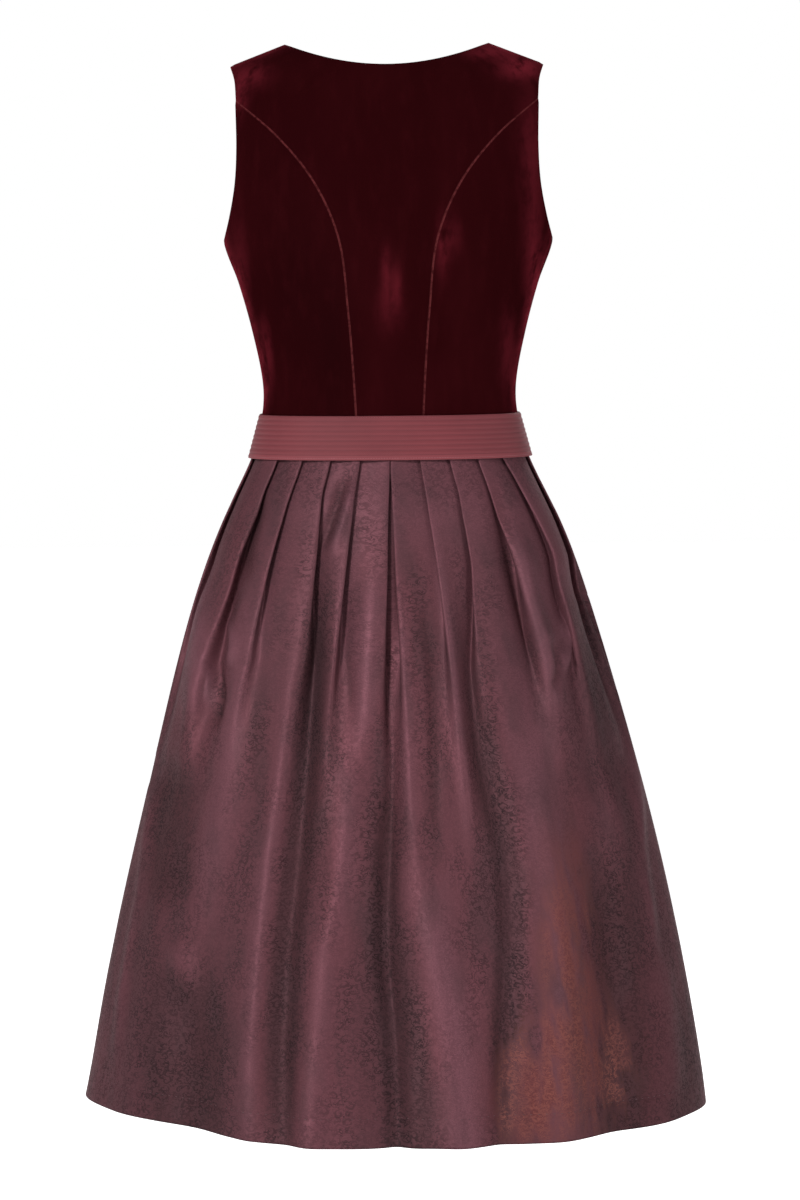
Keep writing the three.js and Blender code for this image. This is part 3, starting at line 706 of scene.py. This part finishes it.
def back_centre_grid():
    left_edge = centre_edge(BACK_SEAM, BACK_ARMHOLE_ABOVE, ABOVE_BACK_SEAM_STEPS)
    x = np.linspace(NECK_HALF, -NECK_HALF, 2 * BACK_NECK_STEPS + 1)[1:-1]
    neck = np.stack([x, -BACK_NECK_DROP * (1 - (x / NECK_HALF) ** 2)], axis=1)
    right = shoulder_line[::-1] * (-1, 1)
    top = on_form(np.vstack([shoulder_line, neck, right]), 1)
    first = on_form(left_edge, 1)
    second = first * (-1, 1)
    bottom = np.linspace(first[0], second[0], len(top))
    return fill_between(bottom, top, first, second, length_shares(left_edge))


def side_grid(seam_line, armhole, side):
    seam = on_form(beside_seam(spline_places(seam_line, seam_shares), 1), side)
    top = on_form(spline_places(armhole, np.linspace(0, 1, SIDE_COLUMNS + 1)), side)
    top[0] = seam[-1]
    top[-1] = side_seam[-1]
    bottom = np.linspace(seam[0], side_seam[0], SIDE_COLUMNS + 1)
    return fill_between(bottom, top, seam, side_seam, seam_shares)


def front_centre_grid():
    outer_edge = centre_edge(FRONT_SEAM, FRONT_ARMHOLE_ABOVE, ABOVE_FRONT_SEAM_STEPS)
    angle = math.pi / 2 * np.arange(FRONT_NECK_STEPS) / FRONT_NECK_STEPS
    x = np.maximum(NECK_HALF * np.sin(angle) ** (2 / FRONT_NECK_POWER), SEAM_GAP / 2)
    z = -FRONT_NECK_DROP * np.cos(angle) ** (2 / FRONT_NECK_POWER)
    top = on_form(np.vstack([np.stack([x, z], axis=1), shoulder_line[::-1]]), -1)
    second = on_form(outer_edge, -1)
    shares = length_shares(outer_edge)
    heights = WAIST_SEAM + shares * (-FRONT_NECK_DROP - WAIST_SEAM)
    first = np.stack([turn_at(np.full(len(heights), SEAM_GAP / 2), heights, -1), heights], axis=1)
    first[-1] = top[0]
    bottom = np.linspace(first[0], second[0], len(top))
    return fill_between(bottom, top, first, second, shares)


# Spots of painted sheen on the velvet of the back, and below 0 of painted shade: (x, z, across, up,
# strength).
SHEEN_AND_SHADE_SPOTS = [
    (2, -226, 5, 24, 0.35),
    (-8, -240, 5, 20, 0.35),
    (2, -262, 12, 22, 0.2),
    (-53, -200, 5, 26, 0.45),
    (-64, -190, 8, 18, 0.2),
    (-132, -24, 20, 12, 1.0),
    (-100, -10, 20, 7, 0.7),
    (134, -30, 18, 12, 0.45),
    (146, -50, 8, 18, 0.5),
    (-142, -110, 12, 60, 0.35),
    (146, -250, 9, 60, 0.4),
    (-144, -240, 9, 70, 0.6),
    (122, -305, 10, 40, 0.5),
    (-118, -310, 8, 40, 0.35),
    (85, -240, 34, 90, -0.6),
    (52, -300, 20, 90, -0.7),
]


def velvet_panel(node, grid, side):
    """A velvet panel whose cut edges roll in a little along its seams."""
    points = form_points(grid[..., 0], grid[..., 1], side)
    normals = grid_normals(points)
    near = np.full(points.shape[:2], np.inf)
    for column in (0, -1):
        near = np.minimum(near, np.linalg.norm(points - points[:, [column]], axis=2))
    rolled = EDGE_ROLL * np.exp(-((near / ROLL_REACH) ** 2))
    outer = points - normals * rolled[..., None]
    inner = points - normals * VELVET_WALL
    for layer in (outer, inner):
        layer[..., 1] = side * np.maximum(side * layer[..., 1], SEWN_GAP / 2)
        layer[0, :, 2] = WAIST_SEAM
    piece = new_wall("velvet_" + node, outer, inner, velvet)
    add_values(piece, "seam", near)
    add_values(piece, "sheen_and_shade", spots(SHEEN_AND_SHADE_SPOTS, points))
    round_edges(piece, VELVET_ROUND)
    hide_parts(node)
    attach(piece, "root")
    return piece


def mirrored(grid):
    return (grid * (-1, 1))[:, ::-1]


back_side = side_grid(BACK_SEAM, BACK_ARMHOLE_BELOW, 1)[:, ::-1]
front_side = side_grid(FRONT_SEAM, FRONT_ARMHOLE_BELOW, -1)
front_centre = front_centre_grid()
# Panels: node, grid, side, flat cut in metres (width, length) and its area.
PANELS = [
    ("back_centre", back_centre_grid(), 1, (0.32, 0.395), 0.060),
    ("back_side_left", back_side, 1, (0.14, 0.34), 0.040),
    ("back_side_right", mirrored(back_side), 1, (0.14, 0.34), 0.040),
    ("front_left", front_centre, -1, (0.17, 0.40), 0.037),
    ("front_right", mirrored(front_centre), -1, (0.17, 0.40), 0.037),
    ("front_side_left", front_side, -1, (0.13, 0.28), 0.033),
    ("front_side_right", mirrored(front_side), -1, (0.13, 0.28), 0.033),
]
SHEETS = [(velvet_panel(*panel[:3]), *panel[3:], "hung") for panel in PANELS]

# Level sections


def level_section(z):
    turns = np.linspace(0, math.pi, SECTION_STEPS)
    on_back = turns <= math.pi / 2
    heights = np.full(turns.shape, float(z))
    back = form_points(turns, heights, 1)
    front = form_points(math.pi - turns, heights, -1)
    half = np.where(on_back[:, None], back, front)[:, :2]
    along = lengths_along(half)
    tangent = np.gradient(half, axis=0)
    normal = np.stack([-tangent[:, 1], tangent[:, 0]], axis=1)
    normal[0] = (0, 1)
    normal[-1] = (0, -1)
    shares = along / along[-1]
    return {"z": z, "half": half, "normal": unit(normal), "shares": shares, "length": along[-1]}


def section_points(section, share, out):
    """Points at shares of the way round a section, moved out from it."""
    share = np.asarray(share, float)
    wrapped = np.where(share > 1, share - 2, np.where(share < -1, share + 2, share))
    size = np.abs(wrapped)
    hand = np.where(wrapped < 0, -1, 1)
    place = [np.interp(size, section["shares"], section["half"][:, k]) for k in (0, 1)]
    normal = [np.interp(size, section["shares"], section["normal"][:, k]) for k in (0, 1)]
    x = hand * (place[0] + out * normal[0])
    y = place[1] + out * normal[1]
    return np.stack([x, y, np.full(share.shape, float(section["z"]))], axis=-1)


# Band


def band_path(up, out):
    """Points along the band at a share of its height, out from the form."""
    low, high = level_section(BAND_BOTTOM), level_section(BAND_TOP)
    lap = BAND_LAP / high["length"]
    start = -1 - lap / 2
    share = start + (2 + lap) * np.linspace(0, 1, BAND_STATIONS + 1)
    past = (share - start - 2 + lap / 2) / (lap / 2)
    lifted = (BAND_WALL + RIB_HEIGHT + SEAM_GAP) * np.clip(past, 0, 1)
    below = section_points(low, share, BAND_CLEARANCE + out + lifted)
    above = section_points(high, share, BAND_CLEARANCE + out + lifted)
    return below + (above - below) * up


def make_band():
    rows = BAND_RIBS * BAND_ROWS_PER_RIB + 1
    heights = np.linspace(0, 1, rows)
    rib = np.sin(math.pi * BAND_RIBS * heights) ** 2
    # The lowest rib is the flat selvedge that is stitched down.
    selvedge = np.clip(1 - heights * BAND_RIBS, 0, 1)
    rib = np.where(selvedge > 0, SELVEDGE_RISE, rib)
    outer = np.stack([band_path(h, BAND_WALL + RIB_HEIGHT * r) for h, r in zip(heights, rib)])
    inner = np.stack([band_path(h, 0) for h in heights])
    # The shares run from the viewer's right to left, so they are turned round.
    outer, inner = outer[:, ::-1], inner[:, ::-1]
    columns = outer.shape[1]
    piece = new_wall("ribbon_band", outer, inner, ribbon)
    u = np.broadcast_to(lengths_along(outer[0]), (rows, columns))
    v = np.broadcast_to((heights * (BAND_TOP - BAND_BOTTOM))[:, None], (rows, columns))
    add_cloth_coordinates(piece, u, v)
    for name, row in (("rib", rib), ("selvedge", selvedge > 0)):
        add_values(piece, name, np.broadcast_to(row[:, None], (rows, columns)))
    round_edges(piece, BAND_ROUND)
    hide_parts("waistband")
    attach(piece, "root")
    return piece


band = make_band()

# Skirt


def hollow_depth(share):
    total = np.zeros(np.shape(share))
    for at, spread, depth in SKIRT_HOLLOWS:
        away = np.abs(share - at)
        away = np.minimum(away, 2 - away) / spread
        total += depth * np.cos(math.pi / 2 * np.minimum(away, 1)) ** 2
    return np.minimum(1, total)


def pleat_line():
    """One side's cloth as corners: folded share, open share, layer, hollow and pleat."""
    extra = WIDE_FACE - 1
    open_pleats = CENTRE_UNDERLAY + PLEATS_EACH_SIDE - 0.5 + extra * FACE_SHARE
    last_pleat = PLEATS_EACH_SIDE - 1
    line = []
    for pleat in range(-1, PLEATS_EACH_SIDE):
        corners = PLEAT_CORNERS
        if pleat < 0:
            corners = PLEAT_CORNERS[2:]
        if pleat == last_pleat:
            corners = PLEAT_CORNERS[:2]
        if pleat == WIDE_PLEAT:
            corners = with_middles(PLEAT_CORNERS[:3]) + PLEAT_CORNERS[3:]
        for folded, opened, layer, hollow in corners:
            passed = 0 if pleat < WIDE_PLEAT else 1 if pleat > WIDE_PLEAT else min(1, folded)
            wider = passed * extra
            in_underlay = (opened - FACE_SHARE) * 2 * CENTRE_UNDERLAY
            on_pleats = CENTRE_UNDERLAY + pleat + opened + wider * FACE_SHARE
            place = in_underlay if pleat < 0 else on_pleats
            kept_layer = 0 if pleat == last_pleat else layer
            folded_share = (pleat + folded + wider) / (PLEATS_EACH_SIDE + extra)
            line.append((folded_share, place / open_pleats, kept_layer, hollow, pleat))
    line.append((1, 1, 0, 0, last_pleat))
    return np.array(line, float)


def with_middles(corners):
    """Corners with two more between each pair, for a wide face."""
    rows = np.array(corners, float)
    steps = np.linspace(0, len(rows) - 1, 3 * (len(rows) - 1) + 1)
    columns = [np.interp(steps, range(len(rows)), rows[:, k]) for k in range(rows.shape[1])]
    return [tuple(row) for row in np.stack(columns, axis=1)]


PLEAT_LINE = pleat_line()
PLEAT_OF_CORNER = PLEAT_LINE[:, 4].astype(int)
IS_SEAM_CORNER = (PLEAT_OF_CORNER == BACK_PLEATS_EACH_SIDE - 1) & (PLEAT_LINE[:, 3] == 1)
SEAM_CORNER = int(np.where(IS_SEAM_CORNER)[0][0])


def skirt_value(name, z):
    return float(smooth_column(SKIRT_ROWS, SKIRT_COLUMNS, name, z))


def creased(loop):
    """A level's line with its creases. The front has the back's, turned round."""
    z = loop[0, 2]
    on_back = loop[:, 1] > 0
    x = loop[:, 0] * np.where(on_back, 1, -1)
    total = np.zeros(len(loop))
    for depth, width, places in CREASES:
        at = np.array(places, float)[::-1]
        reach = at[-1, 1] - at[0, 1]
        to_end = min(z - at[0, 1], at[-1, 1] - z) / (CREASE_FADE * reach)
        middle = np.interp(z, at[:, 1], at[:, 0])
        total += depth * ease(to_end) * np.exp(-(((x - middle) / width) ** 2))
    half = float(form("half", z))
    depth = np.where(on_back, form("back", z), form("front", z))
    out = unit(np.stack([loop[:, 0] / half**2, loop[:, 1] / depth**2], axis=1))
    moved = loop.copy()
    moved[:, :2] += total[:, None] * out
    # Painted light on the ridges and painted shade in the troughs.
    moved[:, 3] -= total / FULL_CREASE
    return moved


def softened(loop):
    """A level's line, smoothed more the further down it lies, where the pleats have opened."""
    reach = np.interp(-loop[0, 2], SOFT_FROM, SOFT_REACH)
    waves = np.fft.rfftfreq(len(loop)) * 2 * math.pi
    kept = np.exp(-((waves * reach) ** 2) / 2)
    level = loop[:, 2].copy()
    smooth = np.fft.irfft(np.fft.rfft(loop, axis=0) * kept[:, None], n=len(loop), axis=0)
    smooth[:, 2] = level
    return smooth


def hem_fold(z):
    """The turned-up hem lies a little proud, with a groove along its stitches."""
    above = z - HEM
    proud = HEM_RISE * np.clip((HEM_TURN - above) / HEM_EASE + 0.5, 0, 1)
    return proud - HEM_GROOVE * math.exp(-(((above - HEM_TURN) / GROOVE_WIDTH) ** 2))


def leaned(share, z, hand, length):
    """Shares moved along the cloth where a fold line leans."""
    moved = share.copy()
    for lean_hand, pleat, rows in FOLD_LEANS:
        if lean_hand != hand:
            continue
        at = np.array(rows, float)[::-1]
        shift = np.interp(z, at[:, 0], at[:, 1]) / length
        middle = share[PLEAT_OF_CORNER == pleat][0]
        fade = np.clip(share / LEAN_REACH, 0, 1) if pleat else 1
        moved += shift * fade * np.exp(-(((share - middle) / LEAN_REACH) ** 2))
    return moved


def half_line(z, hand):
    """One side's cloth at a level, from the centre back to the centre front."""
    section = level_section(z)
    opened = skirt_value("open", z)
    folded_share, open_share, layer, hollow = PLEAT_LINE.T[:4]
    share = folded_share + (open_share - folded_share) * opened
    layered = layer * PLEAT_LAYER_STEP
    strengths = np.array(PLEAT_STRENGTHS[hand])[np.maximum(0, PLEAT_OF_CORNER)]
    strengths[PLEAT_OF_CORNER < 0] = 1
    waved = hollow * skirt_value("pleat", z) * strengths
    depth = layered + (waved - layered) * opened
    share = leaned(share, z, hand, section["length"])
    least = (SKIRT_WALL + SEAM_GAP) / 2 / section["length"]
    share = np.concatenate([[0], np.maximum(share[1:], least)]) * hand
    fold = hollow_depth(share)
    depth = depth + skirt_value("fold", z) * fold
    out = hem_fold(z) - depth - SKIRT_WALL / 2
    # Painted shade in the hollows between the broad folds, kept as a fourth value with each point.
    hollow_shade = fold * np.clip(skirt_value("fold", z) / FULL_FOLD, 0, 1)
    return np.column_stack([section_points(section, share, out), hollow_shade])


def settled(loop):
    """A level's line as worn: fuller on the right, with the left side of the hem raised."""
    z = loop[0, 2]
    moved = loop.copy()
    fuller = math.sin(math.pi * np.clip((z - HEM) / (FULLER_TOP - HEM), 0, 1)) ** FULLER_POWER
    moved[:, 0] *= 1 + fuller * np.where(loop[:, 0] < 0, FULLER_RIGHT, FULLER_LEFT)
    low = np.clip((LIFT_TOP - z) / (LIFT_TOP - HEM), 0, 1)
    side = ease((loop[:, 0] - LIFT_FROM) / (LIFT_TO - LIFT_FROM))
    moved[:, 2] += low * (HEM_LIFT * side - HEM_SAG)
    return moved


def evened(heights, loops):
    """The skirt's lines with each side of its outline eased into one smooth curve."""
    eased = loops.copy()
    below = np.clip((OUTLINE_TOP - heights) / OUTLINE_FADE, 0, 1)
    skirt = heights < OUTLINE_TOP
    for hand in (1, -1):
        reach = (hand * loops[..., 0]).max(axis=1)
        curve = np.polynomial.Polynomial.fit(heights[skirt], reach[skirt], OUTLINE_BENDS)
        wider = below * (curve(heights) / reach - 1)
        share = hand * loops[..., 0] / reach[:, None]
        near = ease((share - OUTLINE_FROM) / (1 - OUTLINE_FROM))
        eased[..., 0] += loops[..., 0] * wider[:, None] * near
    return eased


def cut_corners(loop):
    """A closed line with each corner cut off, which rounds it."""
    following = np.roll(loop, -1, axis=0)
    pairs = np.stack([0.75 * loop + 0.25 * following, 0.25 * loop + 0.75 * following], axis=1)
    return pairs.reshape(-1, loop.shape[1])


def cloth_loops():
    """The rounded line of the cloth at each level, as one closed loop from the centre back."""
    low = np.linspace(HEM, HEM + FINE_ABOVE_HEM, HEM_LEVELS)[:-1]
    high = np.linspace(HEM + FINE_ABOVE_HEM, SKIRT_ROWS[0][0], SKIRT_LEVELS)
    heights = np.concatenate([low, high])
    loops = []
    for z in heights:
        left, right = half_line(z, 1), half_line(z, -1)
        loop = np.vstack([left, right[-2:0:-1]])
        loops.append(settled(creased(softened(cut_corners(cut_corners(loop))))))
    return heights, evened(heights, np.stack(loops))


# Places where the shot cloth looks warmer, and where it lies in shade or, below 0, in light.
WARM_PLACES = [
    (-166, -880, 30, 110, 0.85),
    (-178, -1000, 56, 62, 0.9),
    (-128, -1030, 24, 40, 0.5),
    (-110, -1010, 24, 60, 0.3),
    (110, -1000, 30, 70, 0.2),
]
SHADED_PLACES = [
    (235, -930, 45, 180, 0.3),
    (-228, -960, 25, 200, 0.45),
    (-93, -950, 20, 180, 0.3),
    (105, -950, 22, 180, 0.3),
    (-200, -620, 50, 140, 0.3),
    (-24, -1010, 12, 90, 0.5),
    (-118, -850, 14, 110, 0.4),
    (-96, -705, 8, 60, 0.45),
    (208, -975, 30, 70, 0.9),
    (134, -665, 13, 75, 0.9),
    (200, -1010, 20, 40, 0.3),
    (-44, -1010, 30, 60, 0.35),
    (62, -810, 12, 110, 0.7),
    (78, -960, 10, 90, 0.35),
    (-22, -560, 8, 60, 0.35),
    (-290, -1000, 26, 80, 0.8),
    (-86, -960, 26, 110, -0.6),
    (-60, -780, 18, 70, -0.4),
    (-8, -760, 10, 80, -0.4),
    (-203, -950, 20, 110, -0.9),
    (8, -1010, 14, 90, -0.45),
    (-92, -1040, 14, 50, -0.4),
    (-205, -760, 22, 60, -0.5),
    (-140, -560, 28, 110, -0.6),
    (-178, -545, 16, 60, -0.5),
    (-80, -450, 110, 50, -0.5),
    (60, -455, 70, 40, -0.2),
    (-160, -650, 60, 130, -0.5),
    (-70, -620, 30, 90, -0.25),
    (196, -560, 10, 50, -0.4),
    (-205, -720, 30, 70, -0.3),
    (190, -830, 24, 80, -0.6),
    (46, -570, 10, 50, -0.8),
]


def skirt_piece(name, node, heights, lines, along):
    """A skirt panel from its lines, which run from the viewer's right to left."""
    hollow_shade = lines[:, ::-1, 3]
    lines = lines[..., :3]
    tangent = np.gradient(lines, axis=1)[..., :2]
    normal = unit(np.stack([-tangent[..., 1], tangent[..., 0], np.zeros(lines.shape[:2])], axis=2))
    outer = (lines + normal * SKIRT_WALL / 2)[:, ::-1]
    inner = (lines - normal * SKIRT_WALL / 2)[:, ::-1]
    piece = new_wall(name, outer, inner, jacquard)
    u = np.broadcast_to(along[::-1], lines.shape[:2])
    v = np.broadcast_to(heights[:, None], lines.shape[:2])
    add_cloth_coordinates(piece, u, v)
    add_values(piece, "warmth", spots(WARM_PLACES, outer))
    # Painted shade from the spots and in the fold hollows; below 0 it is painted light.
    shade = np.clip(spots(SHADED_PLACES, outer) + HOLLOW_SHADE * hollow_shade, -1, 1)
    add_values(piece, "shade", shade)
    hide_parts(node)
    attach(piece, "root")
    return piece


def sewn_edge(loops, index, side):
    """A panel's edge, halfway to the next column and just clear of the other panel."""
    here, following = loops[:, index], loops[:, index + 1]
    step = following - here
    clear = SEWN_GAP / 2 / np.linalg.norm(step[:, :3], axis=1)[:, None]
    return (here + step * (0.5 + side * clear))[:, None]


def between_seams(loops, along, first, last):
    """A panel's lines from one seam to the other, and their places along the cloth."""
    inside = slice(first + 1, last + 1)
    lines = [sewn_edge(loops, first, 1), loops[:, inside], sewn_edge(loops, last, -1)]
    ends = [(along[cut] + along[cut + 1]) / 2 for cut in (first, last)]
    return np.hstack(lines), np.r_[ends[0], along[inside], ends[1]]


def make_skirt():
    heights, loops = cloth_loops()
    count = loops.shape[1]
    along = lengths_along(loops[0, :, :3])
    left_cut = POINTS_PER_CORNER * SEAM_CORNER
    right_cut = count - POINTS_PER_CORNER - left_cut
    # The loop is taken twice round, so that each panel is one stretch of it.
    twice = np.hstack([loops, loops])
    along = np.r_[along - along[-1], along]
    back_panel = between_seams(twice, along, right_cut, count + left_cut)
    front_panel = between_seams(twice, along, count + left_cut, count + right_cut)
    back = skirt_piece("jacquard_skirt_back", "skirt_back", heights, *back_panel)
    front = skirt_piece("jacquard_skirt_front", "skirt_front", heights, *front_panel)
    return back, front, hem_stitch_line(heights, loops)


def hem_stitch_line(heights, loops):
    """The closed line on the outside of the skirt where the hem is sewn."""
    line = loops[int(np.argmin(np.abs(heights - HEM - HEM_TURN))), :, :3]
    tangent = np.roll(line, -1, axis=0) - np.roll(line, 1, axis=0)
    out = unit(np.column_stack([tangent[:, 1], -tangent[:, 0], np.zeros(len(line))]))
    out *= np.sign(np.sum(out * out_of_form(line), axis=1).mean())
    return line + out * SKIRT_WALL / 2, out


def out_of_form(points):
    """Level directions away from the middle of the dress."""
    return unit(points * (1, 1, 0))


skirt_back, skirt_front, (hem_line, hem_normals) = make_skirt()

# Stitches

# Rings along a stitch: (share of its length, share of its width, rise above the cloth).
STITCH_RINGS = [(0, 0.35, 0.1), (0.2, 1, 0.35), (0.8, 1, 0.35), (1, 0.35, 0.1)]


def stitch_row(name, path, normals, stitch, material):
    """A row of small raised stitches along a path, as one joined mesh."""
    spacing, length, width = stitch
    along = lengths_along(path)
    sides = STITCH_SIDES
    last_ring = (len(STITCH_RINGS) - 1) * sides
    vertices, faces = [], []
    for start in np.arange(spacing / 2, along[-1] - length, spacing):
        at = start + length * np.array([ring[0] for ring in STITCH_RINGS])
        centre = np.stack([np.interp(at, along, path[:, k]) for k in range(3)], axis=1)
        out = unit(np.stack([np.interp(at, along, normals[:, k]) for k in range(3)], axis=1))
        side = np.cross(unit(centre[-1] - centre[0]), out)
        base = len(vertices)
        for ring, (_, thin, lift) in enumerate(STITCH_RINGS):
            for k in range(sides):
                angle = 2 * math.pi * k / sides
                spread = side[ring] * math.cos(angle) + out[ring] * math.sin(angle) * STITCH_FLATNESS
                vertices.append(centre[ring] + out[ring] * lift * width + spread * width / 2 * thin)
        for ring in range(len(STITCH_RINGS) - 1):
            for k in range(sides):
                a = base + ring * sides + k
                b = base + ring * sides + (k + 1) % sides
                faces.append((a, b, b + sides, a + sides))
        faces.append(tuple(base + k for k in reversed(range(sides))))
        faces.append(tuple(base + last_ring + k for k in range(sides)))
    piece = new_mesh(name, vertices, faces, material)
    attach(piece, "root")
    return piece


low = band_path(BAND_LOW_STITCHES, BAND_WALL + RIB_HEIGHT * SELVEDGE_RISE)
high = band_path(BAND_HIGH_STITCHES, BAND_WALL + HIGH_STITCH_LIFT)
stitch_row("stitches_band_low", low, out_of_form(low), BAND_LOW_STITCH, thread)
stitch_row("stitches_band_high", high, out_of_form(high), BAND_HIGH_STITCH, thread)
stitch_row("stitches_hem", hem_line, hem_normals, HEM_STITCH, hem_thread)

# Cloth: each piece's flat cut, its area where it isn't a rectangle, and how it is held.

SHEETS += [
    (band, (0.83, 0.043), None, "stretched"),
    (skirt_back, (0.82, 0.69), 0.52, "gathered"),
    (skirt_front, (1.01, 0.69), 0.63, "gathered"),
]

# Stage, light and camera

FLOOR_HEIGHT = -1520
# The picture shows this height at the middle of the dress.
FRAME_HEIGHT = 1200
CAMERA_DISTANCE = 4.6
CAMERA_HEIGHT = -0.204
LOOK_AT = Vector((-0.0085, 0, -0.553))
ROLL = math.radians(-0.5)
# Lamps: name, place and aim in metres, size, power.
LIGHTS = [
    ("key", (2.0, 3.2, 1.3), (0, 0, -0.5), 0.9, 121),
    ("fill", (-2.8, 2.4, 0.6), (0, 0, -0.6), 1.6, 31),
    ("front", (-1.2, -3.4, 1.2), (0, 0, -0.5), 1.4, 55),
]
FLOOR_REACH = 16000
GLOW_FROM, GLOW_TO = 1.0, 2.2
FLOOR_GLOW = 0.92
HORIZON = {"From Min": 0.06, "From Max": 0.18, "To Min": 1.0, "To Max": 0.11}


def make_floor():
    """A pale floor that glows, as painted light, more strongly away from the dress."""
    n = Nodes("pale_floor")
    n.look({"Base Color": (0.9, 0.9, 0.9, 1), "Roughness": 0.95, "Specular IOR Level": 0.0})
    place = n.add("ShaderNodeTexCoord").outputs["Object"]
    flat = n.moved(place, (1, 1, 0))
    away = n.add("ShaderNodeVectorMath", {0: flat}, operation="LENGTH").outputs["Value"]
    glow = n.times(n.ramp(away, GLOW_FROM, GLOW_TO), FLOOR_GLOW)
    n.look({"Emission Color": (1, 1, 1, 1), "Emission Strength": glow})
    corners = [(-1, -1), (1, -1), (1, 1), (-1, 1)]
    places = [(x * FLOOR_REACH, y * FLOOR_REACH, FLOOR_HEIGHT) for x, y in corners]
    new_mesh("floor", places, [(0, 1, 2, 3)], n.owner)


def make_light(name, place, aim, size, power):
    light = bpy.data.lights.new(name, "AREA")
    light.shape = "DISK"
    light.size = size
    light.energy = power
    lamp = new_object(name, light)
    lamp.location = place
    lamp.rotation_euler = (Vector(aim) - Vector(place)).to_track_quat("-Z", "Y").to_euler()


def make_world():
    """White towards the horizon and dim overhead, so that the lamps shape the cloth."""
    n = Nodes("studio", "worlds", "Background")
    place = n.add("ShaderNodeTexCoord").outputs["Generated"]
    height = n.add("ShaderNodeSeparateXYZ", {0: place}).outputs["Z"]
    inputs = {"Value": n.math("ABSOLUTE", height), **HORIZON}
    fall = n.add("ShaderNodeMapRange", inputs, interpolation_type="SMOOTHSTEP")
    n.look({"Color": (1, 1, 1, 1), "Strength": fall.outputs[0]})
    bpy.context.scene.world = n.owner


def make_camera():
    camera = bpy.data.cameras.new("camera")
    camera.sensor_fit = "VERTICAL"
    camera.sensor_height = 36
    place = Vector((LOOK_AT.x, CAMERA_DISTANCE, CAMERA_HEIGHT))
    distance = (LOOK_AT - place).length
    camera.lens = distance / MM / FRAME_HEIGHT * camera.sensor_height
    camera.clip_end = 60
    seen = new_object("camera", camera)
    seen.location = place
    turned = (LOOK_AT - place).to_track_quat("-Z", "Y").to_matrix().to_4x4()
    seen.rotation_euler = (turned @ Matrix.Rotation(ROLL, 4, "Z")).to_euler()
    bpy.context.scene.camera = seen


make_floor()
make_world()
for lamp_settings in LIGHTS:
    make_light(*lamp_settings)
make_camera()
bpy.context.scene.view_settings.view_transform = "Standard"
